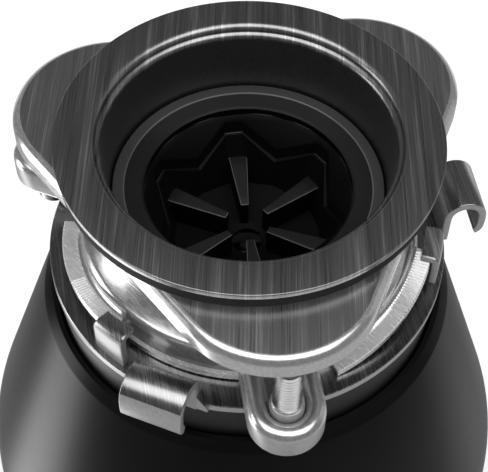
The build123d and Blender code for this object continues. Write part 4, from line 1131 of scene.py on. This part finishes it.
# Outer shells: the upper one falls from its mouth in a cone that rounds into the waist.
shells = {
    "mouth": (63.0, 66.5),
    "chamferStart": (64.6, 66.6),
    "shoulder": (67.5, 69.6),
    "shoulderEase": (0.3, 0.5),
    "waistDrop": 152.0,
    "waistRound": 60.0,
    "wall": 2.5,
    "edgeBreak": 0.4,
    "footTaper": 5.0,
    "footBreak": 1.0,
    "taperHeight": 46.0,
    "knee": [(0.0, -6.0), (0.2, 0.0), (0.7, 6.0)],  # in from the waist, and down from the taper's start
    "outletHole": 21.0,
    "inletHole": 13.8,
}


# How far the cone leans from upright, from the shoulder down to the waist.
def shellLean(size, waist):
    shoulderRadius, shoulderDrop = size["shoulder"]
    run, fall = waist - shoulderRadius, size["waistDrop"] - shoulderDrop
    return Vector((fall, run)).angle(Vector((1.0, 0.0)))


def makeShellOutline(size, waist):
    lean, waistRound = shellLean(size, waist), size["waistRound"]
    centreDrop = size["waistDrop"] + waistRound * tan(lean / 2)
    return arcPoints(waist - waistRound, centreDrop, waistRound, lean * 180 / pi, 0, 14)


def cutHole(piece, radius, direction, height, reach):
    deselectAll()
    bpy.ops.mesh.primitive_cylinder_add(vertices=96, radius=radius * mm, depth=reach * mm)
    cutter = bpy.context.object
    cutter.rotation_euler = Vector(direction).to_track_quat("Z", "Y").to_euler()
    cutter.location = Vector(direction) * reach * mm * 0.5 + Vector((0, 0, height))
    cutWith(piece, cutter)


def makeUpperShell(size):
    low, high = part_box("outer_shell")
    waist, wall, edgeBreak = high.x / mm, size["wall"], size["edgeBreak"]
    foot = (flangeTop - low.z) / mm
    mouthRadius, mouthDrop = size["mouth"]
    shoulderRadius, shoulderDrop = size["shoulder"]
    easeRun, easeRise = size["shoulderEase"]
    outline = [size["mouth"], size["chamferStart"]]
    outline += [(shoulderRadius - easeRun, shoulderDrop - easeRise), size["shoulder"]]
    outside = makeShellOutline(size, waist)
    outline += outside
    outline += [(waist, foot - edgeBreak), (waist - edgeBreak, foot), (waist - wall, foot)]
    outline += [(radius - wall, drop) for radius, drop in reversed(outside)]
    outline += [(shoulderRadius - wall, shoulderDrop + 1.5), (mouthRadius, mouthDrop + 2.0)]
    piece = spinOutline("outerShell", outline, 192)
    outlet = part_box("discharge_gasket")
    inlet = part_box("dishwasher_plug")
    cutHole(piece, size["outletHole"], (0, -1, 0), (outlet[0].z + outlet[1].z) / 2, 120)
    cutHole(piece, size["inletHole"], (0, 1, 0), (inlet[0].z + inlet[1].z) / 2, 120)
    return finishPiece(piece, "body", ["outer_shell"], finishes["shell"], 17.0)


def makeLowerShell(size):
    low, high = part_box("lower_shell")
    waist, wall, edgeBreak, footBreak = high.x / mm, size["wall"], size["edgeBreak"], size["footBreak"]
    top, foot = (flangeTop - high.z) / mm, (flangeTop - low.z) / mm
    knee = flangeTop / mm - size["taperHeight"]
    footRadius = waist - size["footTaper"]
    outline = [(waist - wall, top), (waist - edgeBreak, top), (waist, top + edgeBreak)]
    outline += [(waist - inwards, knee + drop) for inwards, drop in size["knee"]]
    outline += [(footRadius, foot - footBreak), (footRadius - footBreak, foot), (footRadius - wall, foot)]
    outline += [(waist - wall - 0.8, knee + 4.0)]
    piece = spinOutline("lowerShell", outline, 192)
    return finishPiece(piece, "body", ["lower_shell"], finishes["shell"], 28.0)


makeUpperShell(shells)
makeLowerShell(shells)
print("outer shells")


# Discharge elbow: a collar, a short neck, a bend and a tail.
dischargeElbow = {
    "radius": 19.05,
    "wall": 2.0,
    "collarRadius": 22.0,
    "collarThickness": 3.0,
    "collarBreak": 0.5,
    "neck": 12.0,
    "bendRadius": 32.0,
}


def makeDischargeElbow(size):
    low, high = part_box("discharge_elbow")
    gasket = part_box("discharge_gasket")
    height = (gasket[0].z + gasket[1].z) / 2
    face, bend = high.y, size["bendRadius"] * mm
    deselectAll()
    bpy.ops.mesh.primitive_circle_add(
        vertices=64, radius=size["radius"] * mm, location=(0, face, height), rotation=(pi / 2, 0, 0)
    )
    piece = bpy.context.object
    piece.name = "dischargeElbow"
    applyPlace()
    editPiece(piece)
    run = (size["collarThickness"] + size["neck"]) * mm
    pullBy(y=-run)
    bpy.ops.mesh.spin(steps=20, angle=-pi / 2, center=(0, face - run, height - bend), axis=(1, 0, 0))
    pickVerts(piece, lambda co: abs(co.z - height + bend) < 2 * touch)
    pullBy(z=low.z - height + bend)
    selectAll()
    bpy.ops.mesh.remove_doubles(threshold=mergeGap)
    bpy.ops.mesh.normals_make_consistent(inside=False)
    leaveEdit()
    applyModifier(piece, "SOLIDIFY", thickness=size["wall"] * mm, offset=-1.0)
    inner, outer, thick = size["radius"] - 0.4, size["collarRadius"], size["collarThickness"]
    edge = size["collarBreak"]
    outline = [(inner, 0.0), (outer - edge, 0.0), (outer, edge)]
    outline += [(outer, thick - edge), (outer - edge, thick), (inner, thick)]
    points = [(0, face - across * mm, height + radius * mm) for radius, across in outline]
    collar = drawOutline("collar", points)
    bpy.ops.mesh.spin(steps=64, angle=2 * pi, center=(0, face, height), axis=(0, 1, 0))
    closeUp(collar)
    piece = joinPieces("dischargeElbow", [piece, collar])
    return finishPiece(piece, "body", ["discharge_elbow"], finishes["plastic"], 35.0)


makeDischargeElbow(dischargeElbow)
smoothCopy("containerBody", "container_body", "body", finishes["plastic"])
smoothCopy("mountingGasket", "mounting_gasket", "body", finishes["rubber"])
smoothCopy("fiberGasket", "fiber_gasket", "clamp", finishes["fiber"])
print("elbow and neck")


# Floor, light and camera.
def makeFloor():
    deselectAll()
    bpy.ops.mesh.primitive_plane_add(size=12.0, location=(0, 0, floorLevel - 0.2 * mm))
    floor = bpy.context.object
    floor.name = "floor"
    material = newMaterial("paleFloor", (0.9, 0.9, 0.9), 0.8)
    cloud = addNoise(material, (400.0, 400.0, 400.0), 0.0, 2.0)
    shade(material, colour=addRamp(material, cloud, [(0.3, grey(0.88)), (0.7, grey(0.92))]))
    floor.data.materials.append(material)
    floor.visible_glossy = False


# What the polished parts mirror: soft boxes painted on the world by direction.
towardsCamera = Vector((cos(radians(-100.0)), sin(radians(-100.0)), 0.0))
imageRight = Vector((-towardsCamera.y, towardsCamera.x, 0.0))
studio = {
    "sky": 0.09,
    "ground": 0.42,
    "boxes": [  # each aim is how far right, away from the camera and up
        {"aim": (0.0, -0.3, 0.95), "half": (0.9, 0.34), "soft": 0.12, "strength": 2.2},
        {"aim": (-0.9, 0.0, -0.42), "half": (0.1, 0.9), "soft": 0.18, "strength": 3.6},
        {"aim": (0.93, 0.3, -0.1), "half": (0.12, 0.8), "soft": 0.2, "strength": 0.25},
        {"aim": (0.0, 0.96, -0.25), "half": (0.9, 0.22), "soft": 0.2, "strength": 0.7},
    ],
}


def studioDirection(right, away, up):
    return (imageRight * right - towardsCamera * away + Vector((0, 0, up))).normalized()


# Sums on ray directions, as nodes of the world.
class WorldMath:
    def __init__(self, tree):
        self.nodes, self.links = tree.nodes, tree.links

    def dot(self, vector, direction):
        node = self.nodes.new("ShaderNodeVectorMath")
        node.operation = "DOT_PRODUCT"
        node.inputs[1].default_value = direction
        self.links.new(vector, node.inputs[0])
        return node.outputs["Value"]

    def math(self, operation, first, second=None):
        node = self.nodes.new("ShaderNodeMath")
        node.operation = operation
        for index, value in enumerate((first, second)):
            if isinstance(value, float):
                node.inputs[index].default_value = value
            elif value is not None:
                self.links.new(value, node.inputs[index])
        return node.outputs["Value"]

    # Falls smoothly from high to low as value goes from start to end.
    def fade(self, value, start, end, low=0.0, high=1.0):
        node = self.nodes.new("ShaderNodeMapRange")
        node.interpolation_type = "SMOOTHSTEP"
        node.inputs["From Min"].default_value = start
        node.inputs["From Max"].default_value = end
        node.inputs["To Min"].default_value = high
        node.inputs["To Max"].default_value = low
        self.links.new(value, node.inputs["Value"])
        return node.outputs["Result"]


def makeWorld(size):
    world = bpy.data.worlds.new("studio")
    bpy.context.scene.world = world
    world.use_nodes = True
    tree = world.node_tree
    sums = WorldMath(tree)
    direction = tree.nodes.new("ShaderNodeTexCoord").outputs["Generated"]
    height = sums.dot(direction, (0.0, 0.0, 1.0))
    total = sums.fade(height, -0.7, -0.05, size["sky"], size["ground"])
    for box in size["boxes"]:
        aim = studioDirection(*box["aim"])
        across = aim.cross(Vector((0, 0, 1))).normalized() if abs(aim.z) < 0.9 else imageRight
        upward = across.cross(aim).normalized()
        ahead = sums.math("MAXIMUM", sums.dot(direction, aim), 0.001)
        mask = None
        for axis, half in ((across, box["half"][0]), (upward, box["half"][1])):
            offset = sums.math("ABSOLUTE", sums.math("DIVIDE", sums.dot(direction, axis), ahead))
            edge = sums.fade(offset, half, half + box["soft"])
            mask = edge if mask is None else sums.math("MULTIPLY", mask, edge)
        total = sums.math("ADD", total, sums.math("MULTIPLY", mask, box["strength"]))
    rays = tree.nodes.new("ShaderNodeLightPath")
    mirrored = tree.nodes.new("ShaderNodeBackground")
    tree.links.new(total, mirrored.inputs["Color"])
    plain = tree.nodes.new("ShaderNodeBackground")
    plain.inputs["Color"].default_value = (1.0, 1.0, 1.0, 1.0)
    plain.inputs["Strength"].default_value = 1.0
    mix = tree.nodes.new("ShaderNodeMixShader")
    tree.links.new(rays.outputs["Is Glossy Ray"], mix.inputs["Fac"])
    tree.links.new(plain.outputs[0], mix.inputs[1])
    tree.links.new(mirrored.outputs[0], mix.inputs[2])
    tree.links.new(mix.outputs[0], tree.nodes["World Output"].inputs["Surface"])


def makeKeyLight():
    data = bpy.data.lights.new("overheadLight", "AREA")
    data.shape = "RECTANGLE"
    data.size, data.size_y = 1.4, 1.0
    data.energy = 9.0
    light = bpy.data.objects.new("overheadLight", data)
    bpy.context.scene.collection.objects.link(light)
    light.location = (0.05, 0.3, 1.6)
    light.rotation_euler = (-light.location).to_track_quat("-Z", "Y").to_euler()
    light.visible_glossy = False


def makeCamera():
    data = bpy.data.cameras.new("camera")
    data.lens = 87.57
    data.sensor_width = 36.0
    camera = bpy.data.objects.new("camera", data)
    bpy.context.scene.collection.objects.link(camera)
    camera.location = Vector((-40.41, -229.16, 573.2)) * mm
    aim = Vector((-1.014, 0.179, 268.9)) * mm
    look = (aim - camera.location).to_track_quat("-Z", "Y").to_matrix().to_4x4()
    camera.matrix_world = Matrix.Translation(camera.location) @ look @ Matrix.Rotation(radians(1.11), 4, "Z")
    data.clip_start, data.clip_end = 0.01, 50.0
    bpy.context.scene.camera = camera


makeFloor()
makeWorld(studio)
makeKeyLight()
makeCamera()
bpy.context.scene.view_settings.view_transform = "Standard"
print("floor, light and camera")
